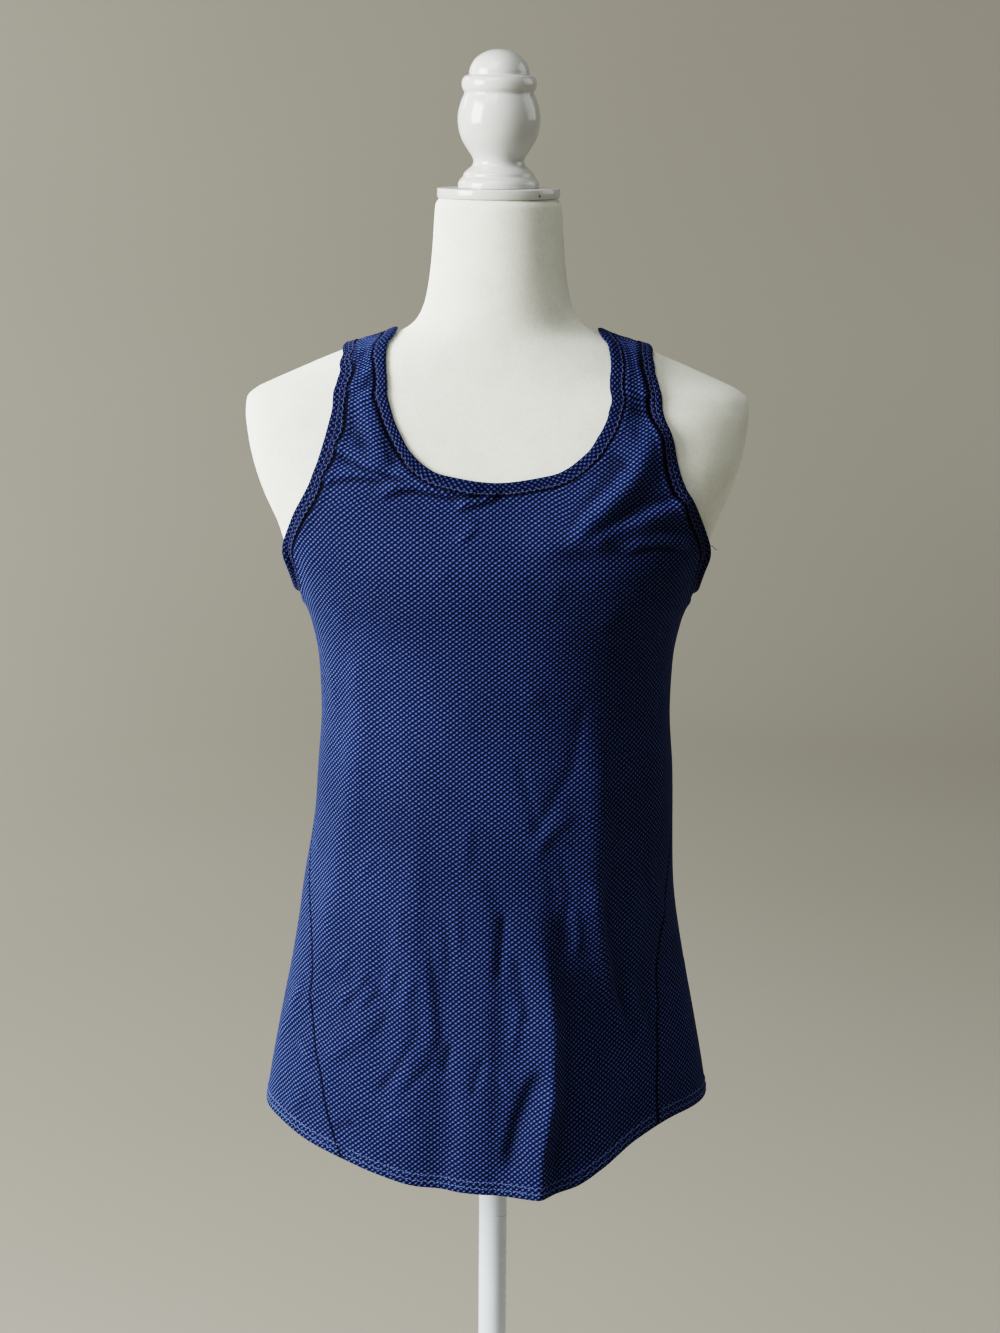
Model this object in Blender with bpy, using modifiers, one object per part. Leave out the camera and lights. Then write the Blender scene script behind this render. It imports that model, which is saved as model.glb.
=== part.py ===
"""Running singlet with a racer back, worn by a limbless dress form on a pole and a round base.

Z is up, the front faces -Y and the base stands on Z = 0. Sizes in the tables are millimetres;
they become metres where a mesh is made. A place on the body or the cloth is given by its turn,
the angle in degrees round from the front centre (positive towards +X), and by its height.
"""

import math
from collections import namedtuple

import bpy
import numpy as np

MM = 0.001

# Driving sizes.
FORM_BOTTOM = 700.0
NECK_TOP = 1349.9
CLEARANCE = 2.2  # from the form to the middle of the cloth that lies on it
SHOULDER_START = 1190.0  # from here up the cloth also lies on top of the form
CLOTH_THICKNESS = 1.2
BAND_THICKNESS = 2.4
BAND_WIDTH = 10.5
BAND_FLAT_SHARE = 0.35  # of the width, from the seam, lies flat before the band flares
ARMHOLE_FLARE = 5.8  # how far the band stands off under the arm
FLARE_TOP = 1118.0
FLARE_FULL = 1084.0
SEAM_GAP = 0.3
PIECE_GAP = 0.3

POLE_RADIUS = 11.1
POLE_SOCKET_DEPTH = 80.0
BASE_RADIUS = 165.0
BASE_FLOOR = 3.0  # under the pole, inside the hub
CAP_RADIUS = 46.4
CAP_THICKNESS = 7.3

# How finely the pieces are divided.
FRONT_COLUMNS = 14  # from the centre to the side
BACK_COLUMNS = 11
SEAM_ROWS = 16
FRONT_ARM_ROWS = 5  # armhole rows below the neckline
FRONT_TOP_ROWS = 15
BACK_ARM_ROWS = 11
BACK_TOP_ROWS = 9
FORM_SEGMENTS = 40
TURNED_STEPS = 28
BASE_STEPS = 48

Section = namedtuple("Section", "height half_width front back squareness")
Place = namedtuple("Place", "turn height")
Fold = namedtuple("Fold", "depth half_width ends path steep", defaults=(0.0,))
Ring = namedtuple("Ring", "height radius")

# The dress form, from its underside to the neck.
FORM = [
    Section(700, 116, 70, 84, 2.2),
    Section(740, 125, 78, 93, 2.25),
    Section(790, 129, 85, 98, 2.25),
    Section(850, 125, 87, 91, 2.2),
    Section(900, 120, 86, 81, 2.2),
    Section(935, 117.5, 85, 75, 2.2),
    Section(980, 122, 92, 78, 2.2),
    Section(1020, 130, 105, 86, 2.3),
    Section(1055, 142, 115, 92, 2.45),
    Section(1072, 150, 118, 94, 2.55),
    Section(1089, 161, 117, 95.5, 2.7),
    Section(1105, 166, 114, 96, 2.8),
    Section(1130, 177, 105, 95, 3.0),
    Section(1150, 184, 96, 93, 3.1),
    Section(1172, 189, 85, 88, 3.0),
    Section(1190, 191, 76, 82, 2.8),
    Section(1200, 190, 71, 78, 2.5),
    Section(1206, 184, 68.5, 75, 2.3),
    Section(1212, 172, 66, 72, 2.1),
    Section(1220, 154, 63, 69, 2.0),
    Section(1230, 131, 60, 66, 2.0),
    Section(1240, 105, 57.5, 63, 2.0),
    Section(1247, 82, 56, 61, 2.0),
    Section(1252, 70, 55, 59.5, 2.0),
    Section(1260, 61, 54, 58, 2.0),
    Section(1272, 55.5, 53, 56, 2.0),
    Section(1290, 52, 51.5, 54, 2.0),
    Section(1315, 49.5, 49.5, 51, 2.0),
    Section(1340, 48, 48, 49, 2.0),
    Section(1346, 47.2, 47.2, 48, 2.0),
    Section(1349.9, 44.5, 44.5, 45, 2.0),
]

# The singlet below the arms, where it hangs free of the form.
CLOTH = [
    Section(595, 180, 119, 125, 2.3),
    Section(646, 173.5, 115, 121, 2.3),
    Section(671, 169.5, 113, 119, 2.3),
    Section(720, 160.5, 109, 116, 2.25),
    Section(769, 151, 106, 113, 2.2),
    Section(817, 144, 105, 108, 2.2),
    Section(866, 140, 105, 102, 2.2),
    Section(914, 137, 106, 96, 2.2),
    Section(961, 134, 108, 92, 2.2),
    Section(1000, 135.5, 112, 92, 2.25),
    Section(1032, 141.5, 117, 94, 2.35),
    Section(1047, 147, 119, 95, 2.45),
    Section(1062, 151.5, 120.3, 96.5, 2.55),
    Section(1078, 156, 120.5, 97, 2.65),
    Section(1100, 160, 114, 96, 2.8),
]
FREE_CLOTH_TOP = 1100.0
FREE_CLOTH_FADE = 70.0  # above its top the free cloth's size falls away over this height
FREE_CLOTH_DROP = 150.0
HELD_FOLDS_START = 1070.0  # from here up folds also stand out from cloth that lies on the form
BLEND_WIDTH = 3.0  # how softly hanging cloth turns into cloth that lies on the form

# Free edges of the right half. The last place of each front edge is on the shoulder seam.
NECK_FRONT = [
    Place(0, 1147), Place(20, 1151.6), Place(28.5, 1157.3), Place(36, 1168.2),
    Place(41, 1179.5), Place(45.4, 1190.6), Place(49.5, 1202.5), Place(53.6, 1214.5),
    Place(57, 1224), Place(61, 1234.5), Place(66.5, 1243.4), Place(76, 1250), Place(90, 1252.4),
]
NECK_BACK = [
    Place(90, 1252.4), Place(106, 1249.6), Place(122, 1242), Place(140, 1231.5),
    Place(160, 1223), Place(180, 1219.5),
]
ARMHOLE_FRONT = [
    Place(92, 1056.5), Place(84, 1059), Place(78, 1066), Place(74, 1078), Place(71, 1092),
    Place(67.2, 1105.8), Place(63.1, 1119.4), Place(60.2, 1132), Place(58.7, 1144),
    Place(58.5, 1156), Place(59.2, 1170), Place(60.3, 1183), Place(62, 1195.5),
    Place(64.8, 1207), Place(68.6, 1217.6), Place(72.2, 1226.5), Place(78.5, 1235), Place(90, 1238.8),
]
ARMHOLE_BACK = [
    Place(90, 1238.8), Place(103, 1236), Place(117, 1227), Place(131, 1211), Place(142.5, 1189),
    Place(150.5, 1165), Place(153.6, 1143), Place(151.5, 1121), Place(144.5, 1103),
    Place(134, 1087), Place(120, 1071.5), Place(105, 1060.5), Place(92, 1056.5),
]

# The side seams run forward over the hips, the left one (-X) further than the right one.
SIDE_SEAM_RIGHT = [
    Place(64, 630), Place(65.5, 670), Place(68, 698.5), Place(70.5, 730), Place(73, 764),
    Place(77, 800), Place(85, 870), Place(90, 960), Place(92, 1060),
]
SIDE_SEAM_LEFT = [
    Place(50, 622), Place(56.4, 658.7), Place(60, 685.6), Place(64.3, 712), Place(68.2, 740),
    Place(72, 780), Place(79, 823), Place(87, 880), Place(90.5, 960), Place(92, 1060),
]

# The curved hem's height, all the way round.
HEM = [
    Place(-180, 597), Place(-150, 608), Place(-120, 632), Place(-90, 646), Place(-77, 643.5),
    Place(-62, 633.5), Place(-51, 626), Place(-40.6, 618), Place(-26, 609.5), Place(-1.5, 606),
    Place(17, 604.5), Place(28.8, 608), Place(40.3, 618.5), Place(56, 636), Place(73.5, 646.5),
    Place(90, 648), Place(120, 635), Place(150, 608), Place(180, 597),
]

# The cloth's large folds: ridges stand out, valleys (negative depth) sink in. A fold's ends
# fade out over the given length. Steep narrows the flank on the left hand, seen along the path.
FOLD_RADIUS = 125.0  # turns a fold's angles into lengths
FOLDS = [
    # the long ridge that falls from the bust to the hem, the lap beside its foot and the flat
    # cloth on its right
    Fold(9.5, 16, 130, [(15.5, 850), (17.5, 800), (21.3, 760), (22, 726), (20.5, 677),
                         (16.5, 637), (14, 560)], 0.4),
    Fold(-5.5, 9, 28, [(21, 712), (14.5, 688), (10, 664), (7, 641), (5, 615)], -0.35),
    Fold(-22, 60, 190, [(63, 930), (63, 560)]),
    Fold(4.5, 13, 70, [(37, 985), (39.5, 930), (40.5, 870), (40.5, 820), (47, 770), (51, 715)], 0.25),
    Fold(-2.2, 8, 35, [(22, 885), (24.5, 860), (28.5, 805), (30, 770)]),
    Fold(2.5, 9, 50, [(58, 880), (61, 830), (61.4, 772), (57.3, 700)]),
    # below the waist the cloth hangs a little towards -X
    Fold(5.5, 30, 80, [(-90, 890), (-89, 800), (-88, 700), (-86, 560)]),
    Fold(2.9, 26, 80, [(88, 830), (88, 780), (87, 700), (86, 560)]),
    # soft folds of the lower front
    Fold(1.6, 11, 60, [(-8, 875), (-5.5, 841), (-2.5, 813), (-2.5, 748), (-4, 640), (-4, 560)], 0.35),
    Fold(-1.6, 12, 100, [(-19.7, 880), (-20.2, 755), (-20.5, 590)]),
    Fold(1.8, 9, 90, [(-29.9, 930), (-32.8, 785), (-33.3, 660)], 0.3),
    Fold(-2.0, 11, 90, [(-43.4, 860), (-43.8, 751), (-39.1, 630)]),
    Fold(-3.2, 16, 60, [(-22, 735), (-19, 693), (-17.6, 654), (-19.6, 615), (-20, 560)], 0.4),
    Fold(3.6, 14, 90, [(-48, 1045), (-52, 960), (-56, 901), (-61, 836), (-66, 779), (-66, 740)], 0.2),
    Fold(2.4, 8, 22, [(-41, 757), (-44.4, 743), (-49.3, 723), (-58.4, 703), (-64, 694)], 0.4),
    Fold(2.2, 8, 20, [(-64, 755), (-72, 735), (-80, 712), (-86, 700)], 0.3),
    # cloth pulled between the armholes, the straps and the neckline
    Fold(2.2, 30, 60, [(-60, 1062), (-35, 1070), (0, 1078), (35, 1070)]),
    Fold(6, 17, 45, [(57, 1210), (54, 1188), (49, 1172), (41.5, 1152), (32.5, 1132),
                      (22.5, 1112), (8, 1086)], 0.25),
    Fold(6, 10, 20, [(58, 1196), (53, 1178), (49, 1165), (46, 1156), (41, 1143), (36, 1133),
                     (31, 1122), (26, 1108), (22, 1098)], -0.45),
    Fold(4.5, 8, 18, [(62, 1134), (58, 1131), (50, 1126), (45, 1120), (39, 1114), (33, 1107),
                      (27, 1097)], -0.4),
    Fold(3.8, 7, 16, [(66, 1236), (60, 1220), (53, 1203), (49.5, 1188), (46.5, 1172), (43, 1156)]),
    # the back, between the shoulder blades and the hem
    Fold(4.8, 16, 120, [(168, 900), (166, 760), (162, 570)], 0.3),
    Fold(-4.0, 14, 110, [(-172, 900), (-174, 760), (-177, 570)]),
    Fold(4.8, 15, 120, [(-148, 930), (-147, 770), (-142, 570)], -0.3),
    Fold(-3.6, 13, 110, [(146, 880), (143, 740), (140, 570)]),
    Fold(3.8, 14, 110, [(126, 960), (122, 800), (117, 580)], 0.2),
    Fold(-3.0, 12, 100, [(-128, 900), (-124, 760), (-120, 590)]),
    Fold(3.4, 13, 100, [(-106, 980), (-104, 820), (-101, 600)], -0.2),
    Fold(4.0, 9, 32, [(163, 1128), (150, 1100), (134, 1072), (118, 1050)], 0.25),
    Fold(3.8, 9, 32, [(-160, 1122), (-146, 1092), (-131, 1062), (-117, 1036)], -0.25),
]

# The turned finial, from its foot to its tip, above the neck cap.
FINIAL = [
    Ring(0, 30.6), Ring(3.4, 30.6), Ring(6, 29.2), Ring(8.4, 27.0), Ring(10.6, 26.3),
    Ring(12.9, 24.2), Ring(16.6, 20.0), Ring(20.3, 19.2), Ring(24, 20.8), Ring(27.7, 23.3),
    Ring(35.1, 27.8), Ring(42.5, 30.2), Ring(49.9, 31.1), Ring(57.2, 30.5), Ring(64.6, 28.4),
    Ring(69.6, 26.2), Ring(71.4, 26.6), Ring(74, 27.9), Ring(78.5, 28.1), Ring(82.2, 26.2),
    Ring(83.6, 22.9), Ring(86.6, 22.5), Ring(90.4, 21.2), Ring(94.2, 18.9), Ring(97.6, 15.4),
    Ring(100.4, 10.4), Ring(101.9, 5.2), Ring(102.3, 0),
]
# The base's hub and plate, from the top of the pole's socket out and down to the rim.
BASE = [
    Ring(34, 16.5), Ring(32, 18.5), Ring(18, 19.5), Ring(15, 24), Ring(13, 40), Ring(9, 120),
    Ring(7.5, 155), Ring(5, 163.5), Ring(2.5, 165), Ring(0, 164),
]

NAVY = (0.014, 0.032, 0.155, 1.0)
NAVY_BAND = (0.011, 0.026, 0.13, 1.0)
JERSEY_WHITE = (0.80, 0.79, 0.76, 1.0)
GLOSS_WHITE = (0.86, 0.86, 0.86, 1.0)


def curve_through(table, heights):
    """Every later column of a table at the given heights: a smooth curve with no overshoot."""
    rows = np.array(table, float)
    at, values = rows[:, 0], rows[:, 1:]
    heights = np.clip(np.asarray(heights, float), at[0], at[-1])
    k = np.clip(np.searchsorted(at, heights, side="right") - 1, 0, len(at) - 2)
    step = np.diff(at)[:, None]
    slope = np.diff(values, axis=0) / step
    tangent = np.zeros_like(values)
    before, after = 2 * step[1:] + step[:-1], step[1:] + 2 * step[:-1]
    one_way = slope[:-1] * slope[1:] > 0
    safe = np.where(one_way, slope[:-1] * slope[1:], 1.0)
    mean = (before + after) * safe / (before * slope[1:] + after * slope[:-1] + (~one_way))
    tangent[1:-1] = np.where(one_way, mean, 0.0)
    tangent[0], tangent[-1] = slope[0], slope[-1]
    u = ((heights - at[k]) / step[k, 0])[..., None]
    h = step[k]
    return (
        (1 + 2 * u) * (1 - u) ** 2 * values[k]
        + u * (1 - u) ** 2 * h * tangent[k]
        + u * u * (3 - 2 * u) * values[k + 1]
        + u * u * (u - 1) * h * tangent[k + 1]
    )


def ease(x):
    """0 to 1, starting and ending softly."""
    x = np.clip(x, 0.0, 1.0)
    return x * x * (3 - 2 * x)


def section_radius(table, turn, height):
    """Distance from the axis to a squared oval with its own front and back depths."""
    half_width, front, back, squareness = np.moveaxis(curve_through(table, height), -1, 0)
    across, ahead = np.sin(np.radians(turn)), np.cos(np.radians(turn))
    deep = np.where(ahead > 0, front, back)
    reach = np.abs(across / half_width) ** squareness + np.abs(ahead / deep) ** squareness
    return reach ** (-1 / squareness)


def softly_largest(a, b, width):
    top = np.maximum(a, b)
    return top + width * np.log(np.exp((a - top) / width) + np.exp((b - top) / width))


def fold_rise(turn, height):
    """How far the folds push the cloth out."""
    rise = np.zeros(np.broadcast(turn, height).shape)
    for fold in FOLDS:
        path = np.array(fold.path, float)
        path[:, 0] = np.unwrap(path[:, 0], period=360)
        steps = np.diff(path, axis=0) * (math.radians(FOLD_RADIUS), 1)
        lengths = np.hypot(steps[:, 0], steps[:, 1])
        start = np.concatenate([[0], np.cumsum(lengths)])
        nearest = np.full(rise.shape, np.inf)
        place, side = np.zeros(rise.shape), np.zeros(rise.shape)
        for i, (step, length) in enumerate(zip(steps, lengths)):
            east = ((turn - path[i, 0] + 180) % 360 - 180) * math.radians(FOLD_RADIUS)
            north = height - path[i, 1]
            t = np.clip((east * step[0] + north * step[1]) / length**2, 0, 1)
            away = np.hypot(east - t * step[0], north - t * step[1])
            closer = away < nearest
            nearest = np.where(closer, away, nearest)
            place = np.where(closer, start[i] + t * length, place)
            side = np.where(closer, (north * step[0] - east * step[1]) / length, side)
        fade = ease(place / fold.ends)
        if path[-1, 1] >= HEM[0].height:  # else it runs out over the hem and doesn't fade there
            fade = fade * ease((start[-1] - place) / fold.ends)
        lean = side / (np.abs(side) + 0.35 * fold.half_width)
        width = fold.half_width * (1 - fold.steep * lean)
        rise += fold.depth * fade * np.exp(-((nearest / width) ** 2))
    return rise


def cloth_radius(turn, height):
    """Distance from the axis to the middle of the cloth, folds included."""
    turn, height = np.asarray(turn, float), np.asarray(height, float)
    lift = CLEARANCE * ease((height - SHOULDER_START) / 25)
    resting = section_radius(FORM, turn, height - lift) + CLEARANCE
    hanging = section_radius(CLOTH, turn, np.minimum(height, FREE_CLOTH_TOP))
    rise = fold_rise(turn, height)
    hanging = hanging + rise
    hanging = hanging - FREE_CLOTH_DROP * ease((height - FREE_CLOTH_TOP) / FREE_CLOTH_FADE)
    held = resting + np.maximum(rise, 0) * ease((height - HELD_FOLDS_START) / 30)
    return softly_largest(held, hanging, BLEND_WIDTH)


def at_radius(radius, turn, height):
    angle = np.radians(turn)
    return np.stack([radius * np.sin(angle), -radius * np.cos(angle), height + 0 * radius], -1)


def cloth_point(turn, height):
    return at_radius(cloth_radius(turn, height), turn, height)


def cloth_tangents(turn, height):
    """How a point of the cloth moves per degree of turn and per millimetre of height."""
    by_turn = (cloth_point(turn + 0.2, height) - cloth_point(turn - 0.2, height)) / 0.4
    by_height = (cloth_point(turn, height + 0.3) - cloth_point(turn, height - 0.3)) / 0.6
    return by_turn, by_height


def cloth_normal(turn, height):
    normal = np.cross(*cloth_tangents(turn, height))
    return normal / np.linalg.norm(normal, axis=-1, keepdims=True)


def walk(turn, height, direction, distance, steps=6):
    """Places reached by going that far over the cloth, in that direction."""
    for _ in range(steps):
        by_turn, by_height = cloth_tangents(turn, height)
        a, b, c = (
            (by_turn * by_turn).sum(-1),
            (by_turn * by_height).sum(-1),
            (by_height * by_height).sum(-1),
        )
        p, q = (by_turn * direction).sum(-1), (by_height * direction).sum(-1)
        scale = distance / steps / (a * c - b * b)
        turn, height = turn + (c * p - b * q) * scale, height + (a * q - b * p) * scale
    return turn, height


def smooth_line(places, per_span=24):
    """A Catmull-Rom curve through places; the first and last are guides that it doesn't reach."""
    p = np.array(places, float)
    t = np.arange(per_span)[:, None] / per_span
    spans = [
        0.5 * (2 * b + (c - a) * t + (2 * a - 5 * b + 4 * c - d) * t**2
               + (3 * b - a - 3 * c + d) * t**3)
        for a, b, c, d in zip(p[:-3], p[1:-2], p[2:-1], p[3:])
    ]
    return np.concatenate([*spans, p[-2:-1]])


def evenly(line, count):
    """The line again, as count equal lengths over the cloth."""
    steps = np.linalg.norm(np.diff(cloth_point(line[:, 0], line[:, 1]), axis=0), axis=1)
    along = np.concatenate([[0], np.cumsum(steps)])
    at = np.linspace(0, along[-1], count + 1)
    return np.stack([np.interp(at, along, line[:, 0]), np.interp(at, along, line[:, 1])], 1)


class Opening:
    """A neckline or armhole of the right half: stations along its front and back edges."""

    def __init__(self, front, back, front_count, back_count, closed, leftwards):
        first, last = front[0], back[-1]
        if closed:
            before, after = back[-2], front[1]
        else:  # the mirror image goes on past the centre
            before = Place(-front[1].turn, front[1].height)
            after = Place(2 * last.turn - back[-2].turn, back[-2].height)
        whole = smooth_line([before, *front, *back[1:], after])
        split = int(np.argmin(np.abs(whole - np.array(front[-1])).sum(1)))
        edge = np.concatenate([
            evenly(whole[: split + 1], front_count),
            evenly(whole[split:], back_count)[1:],
        ])
        edge[0], edge[-1] = first, last
        self.split = front_count
        self.closed = closed
        points = cloth_point(edge[:, 0], edge[:, 1])
        if closed:
            around = np.concatenate([points[-2:-1], points, points[1:2]])
        else:
            mirror = np.array([-1, 1, 1])
            around = np.concatenate([points[1:2] * mirror, points, points[-2:-1] * mirror])
        tangent = around[2:] - around[:-2]
        inward = np.cross(cloth_normal(edge[:, 0], edge[:, 1]), tangent) * leftwards
        self.inward = inward / np.linalg.norm(inward, axis=1, keepdims=True)
        self.edge = edge

    def moved(self, distance):
        """The stations, moved that far over the cloth away from the opening."""
        turn, height = walk(self.edge[:, 0], self.edge[:, 1], self.inward, distance)
        if not self.closed:
            turn[0], turn[-1] = self.edge[0, 0], self.edge[-1, 0]
        return np.stack([turn, height], 1)


def make_openings():
    neck = Opening(NECK_FRONT, NECK_BACK, FRONT_TOP_ROWS, BACK_TOP_ROWS, False, -1)
    armhole = Opening(
        ARMHOLE_FRONT, ARMHOLE_BACK, FRONT_ARM_ROWS + FRONT_TOP_ROWS,
        BACK_ARM_ROWS + BACK_TOP_ROWS, True, 1,
    )
    return neck, armhole


def seam_turn(seam, height):
    line = np.array([(place.height, place.turn) for place in seam])
    return curve_through(line, height)[..., 0]


def hem_height(turn):
    turn = (np.asarray(turn, float) + 180) % 360 - 180
    return curve_through(HEM, turn)[..., 0]


def half_panel(neck_line, arm_line, seam, side, is_front, columns, arm_rows):
    """Places of half a panel: a row for each height, from its centre to its side."""
    towards_centre = -1 if is_front else 1
    middle = 0.0 if is_front else 180.0
    neck_bottom = neck_line[0] if is_front else neck_line[-1]
    neck_line = neck_line if is_front else neck_line[::-1]
    arm_line = arm_line if is_front else arm_line[::-1]
    corner = arm_line[0]
    hem_turn = seam_turn(seam, HEM[0].height)
    for _ in range(4):
        hem_turn = seam_turn(seam, hem_height(side * hem_turn))
    seam_heights = np.linspace(float(hem_height(side * hem_turn)), corner[1], SEAM_ROWS + 1)
    seam_turns = seam_turn(seam, seam_heights)
    seam_turns += (corner[0] - seam_turns[-1]) * ease((seam_heights - 900) / 150)
    outer = np.concatenate([
        np.stack([seam_turns, seam_heights], 1),
        arm_line[1:],
    ])
    outer_radius = cloth_radius(side * outer[:, 0], outer[:, 1])
    shift = np.degrees(SEAM_GAP / 2 / outer_radius) * towards_centre
    on_seam = np.ones(len(outer))
    on_seam[SEAM_ROWS + 1 : -1] = 0
    outer[:, 0] += shift * on_seam
    low_rows = SEAM_ROWS + arm_rows
    centre_heights = np.linspace(float(hem_height(middle)), neck_bottom[1], low_rows + 1)
    inner = np.concatenate([
        np.stack([np.full(low_rows + 1, middle), centre_heights], 1),
        neck_line[1:],
    ])
    inner[-1, 0] += shift[-1]
    share = np.linspace(0, 1, columns + 1)[None, :, None]
    grid = inner[:, None] * (1 - share) + outer[:, None] * share
    sag = hem_height(side * grid[0, :, 0]) - grid[0, :, 1]
    rows_up = np.arange(len(grid)) / low_rows
    grid[:, :, 1] += np.clip(1 - rows_up, 0, 1)[:, None] ** 2 * sag[None]
    return grid


def panel_mesh(right, left, is_front, low_rows, columns):
    """One open surface from its two halves, which share their centre line below the neck."""
    places, faces = [], []
    index = np.zeros((2, *right.shape[:2]), int)
    for row in range(len(right)):
        for column in range(columns + 1):
            index[0, row, column] = len(places)
            places.append(right[row, column])
            if column == 0 and row <= low_rows:
                index[1, row, column] = index[0, row, column]
                continue
            index[1, row, column] = len(places)
            turn, height = left[row, column]
            places.append((-turn if is_front else 360 - turn, height))
    for half in (0, 1):
        for row in range(len(right) - 1):
            for column in range(columns):
                a, b = index[half, row, column], index[half, row, column + 1]
                d, c = index[half, row + 1, column], index[half, row + 1, column + 1]
                faces.append((a, b, c, d) if (half == 0) == is_front else (d, c, b, a))
    places = np.array(places)
    return cloth_point(places[:, 0], places[:, 1]), faces


def add_mesh(name, points, faces, colour, roughness):
    """A smooth-shaded object from points in millimetres."""
    mesh = bpy.data.meshes.new(name)
    mesh.from_pydata([tuple(float(x) * MM for x in p) for p in points], [], faces)
    mesh.update()
    mesh.shade_smooth()
    return add_object(name, mesh, colour, roughness)


def add_object(name, mesh, colour, roughness):
    thing = bpy.data.objects.new(name, mesh)
    parts.objects.link(thing)
    dress(thing, colour, roughness)
    return thing


def dress(thing, colour, roughness):
    material = bpy.data.materials.new(thing.name)
    material.use_nodes = True
    shader = material.node_tree.nodes["Principled BSDF"]
    shader.inputs["Base Color"].default_value = colour
    shader.inputs["Roughness"].default_value = roughness
    thing.data.materials.clear()
    thing.data.materials.append(material)


def add_wall(thing, thickness):
    wall = thing.modifiers.new("Wall", "SOLIDIFY")
    wall.thickness = thickness * MM
    wall.offset = 0.0


def make_panels(neck, armhole):
    edge = BAND_WIDTH + SEAM_GAP
    neck_line, arm_line = neck.moved(edge), armhole.moved(edge)
    n, a = neck.split, armhole.split
    for name, is_front, columns, arm_rows, neck_part, arm_part in (
        ("front_panel", True, FRONT_COLUMNS, FRONT_ARM_ROWS, neck_line[: n + 1], arm_line[: a + 1]),
        ("back_panel", False, BACK_COLUMNS, BACK_ARM_ROWS, neck_line[n:], arm_line[a:]),
    ):
        right, left = (
            half_panel(neck_part, arm_part, seam, side, is_front, columns, arm_rows)
            for seam, side in ((SIDE_SEAM_RIGHT, 1), (SIDE_SEAM_LEFT, -1))
        )
        points, faces = panel_mesh(right, left, is_front, SEAM_ROWS + arm_rows, columns)
        add_wall(add_mesh(name, points, faces, NAVY, 0.75), CLOTH_THICKNESS)


def band_stations(opening, flare):
    """Free edge, middle and seam edge of a band, each as (turn, height), and its flare."""
    free_part = BAND_WIDTH * (1 - BAND_FLAT_SHARE)
    drawn_in = free_part - np.sqrt(free_part**2 - flare**2)
    return opening.moved(drawn_in), opening.moved(free_part), opening.moved(BAND_WIDTH)


def band_mesh(name, lines, flare, backwards):
    """A closed strip of cloth along an opening, from lines of (turn, height)."""
    free, middle, seam = lines
    normal = cloth_normal(free[:, 0], free[:, 1])
    points = np.concatenate([
        cloth_point(free[:, 0], free[:, 1]) + normal * flare[:, None],
        cloth_point(middle[:, 0], middle[:, 1]),
        cloth_point(seam[:, 0], seam[:, 1]),
    ])
    count, faces = len(free), []
    for lane in (0, 1):
        for i in range(count):
            a, b = lane * count + i, lane * count + (i + 1) % count
            faces.append((a, b, b + count, a + count)[:: -1 if backwards else 1])
    add_wall(add_mesh(name, points, faces, NAVY_BAND, 0.8), BAND_THICKNESS)


def mirrored(line):
    return np.stack([-line[:, 0], line[:, 1]], 1)


def make_bands(neck, armhole):
    flat = np.zeros(len(neck.edge))
    whole = []
    for line in band_stations(neck, flat):
        whole.append(np.concatenate([line, mirrored(line)[-2:0:-1]]))
    band_mesh("neck_binding", whole, np.zeros(len(whole[0])), True)
    height = armhole.edge[:, 1]
    flare = ARMHOLE_FLARE * ease((FLARE_TOP - height) / (FLARE_TOP - FLARE_FULL))
    flare = flare * (1 - 0.25 * ease((FLARE_FULL - height) / 24))
    lines = [line[:-1] for line in band_stations(armhole, flare)]
    band_mesh("armhole_binding_right", lines, flare[:-1], False)
    lines = [mirrored(line) for line in lines]
    band_mesh("armhole_binding_left", lines, flare[:-1], True)


def make_form():
    """The padded body: rings from its underside to the neck, with the pole's socket below."""
    turns = np.arange(FORM_SEGMENTS) * 360 / FORM_SEGMENTS
    bore = POLE_RADIUS + PIECE_GAP
    rings = [
        at_radius(np.full(FORM_SEGMENTS, bore), turns, FORM_BOTTOM + POLE_SOCKET_DEPTH),
        at_radius(np.full(FORM_SEGMENTS, bore), turns, FORM_BOTTOM),
        at_radius(section_radius(FORM, turns, FORM_BOTTOM) - 8, turns, FORM_BOTTOM),
        at_radius(section_radius(FORM, turns, FORM_BOTTOM + 6), turns, FORM_BOTTOM + 8),
    ]
    rings += [
        at_radius(section_radius(FORM, turns, section.height), turns, section.height)
        for section in FORM[1:]
    ]
    points = np.concatenate([*rings, [(0, 0, FORM_BOTTOM + POLE_SOCKET_DEPTH), (0, 0, NECK_TOP)]])
    faces, count = [], FORM_SEGMENTS
    for lane in range(len(rings) - 1):
        for i in range(count):
            a, b = lane * count + i, lane * count + (i + 1) % count
            faces.append((a, b, b + count, a + count))
    last = (len(rings) - 1) * count
    for i in range(count):
        after = (i + 1) % count
        faces.append((after, i, len(points) - 2))
        faces.append((last + i, last + after, len(points) - 1))
    add_mesh("dress_form_body", points, faces, JERSEY_WHITE, 0.85)


def add_cylinder(name, radius, bottom, top, sides, colour, roughness, bevel=0.0):
    bpy.ops.mesh.primitive_cylinder_add(
        vertices=sides, radius=radius * MM, depth=(top - bottom) * MM,
        location=(0, 0, (top + bottom) / 2 * MM),
    )
    thing = bpy.context.object
    thing.name = name
    for holder in list(thing.users_collection):
        holder.objects.unlink(thing)
    parts.objects.link(thing)
    thing.data.shade_smooth()
    thing.data.set_sharp_from_angle(angle=math.radians(40))
    if bevel:
        rounding = thing.modifiers.new("Rounding", "BEVEL")
        rounding.width = bevel * MM
        rounding.segments = 2
    dress(thing, colour, roughness)


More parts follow.
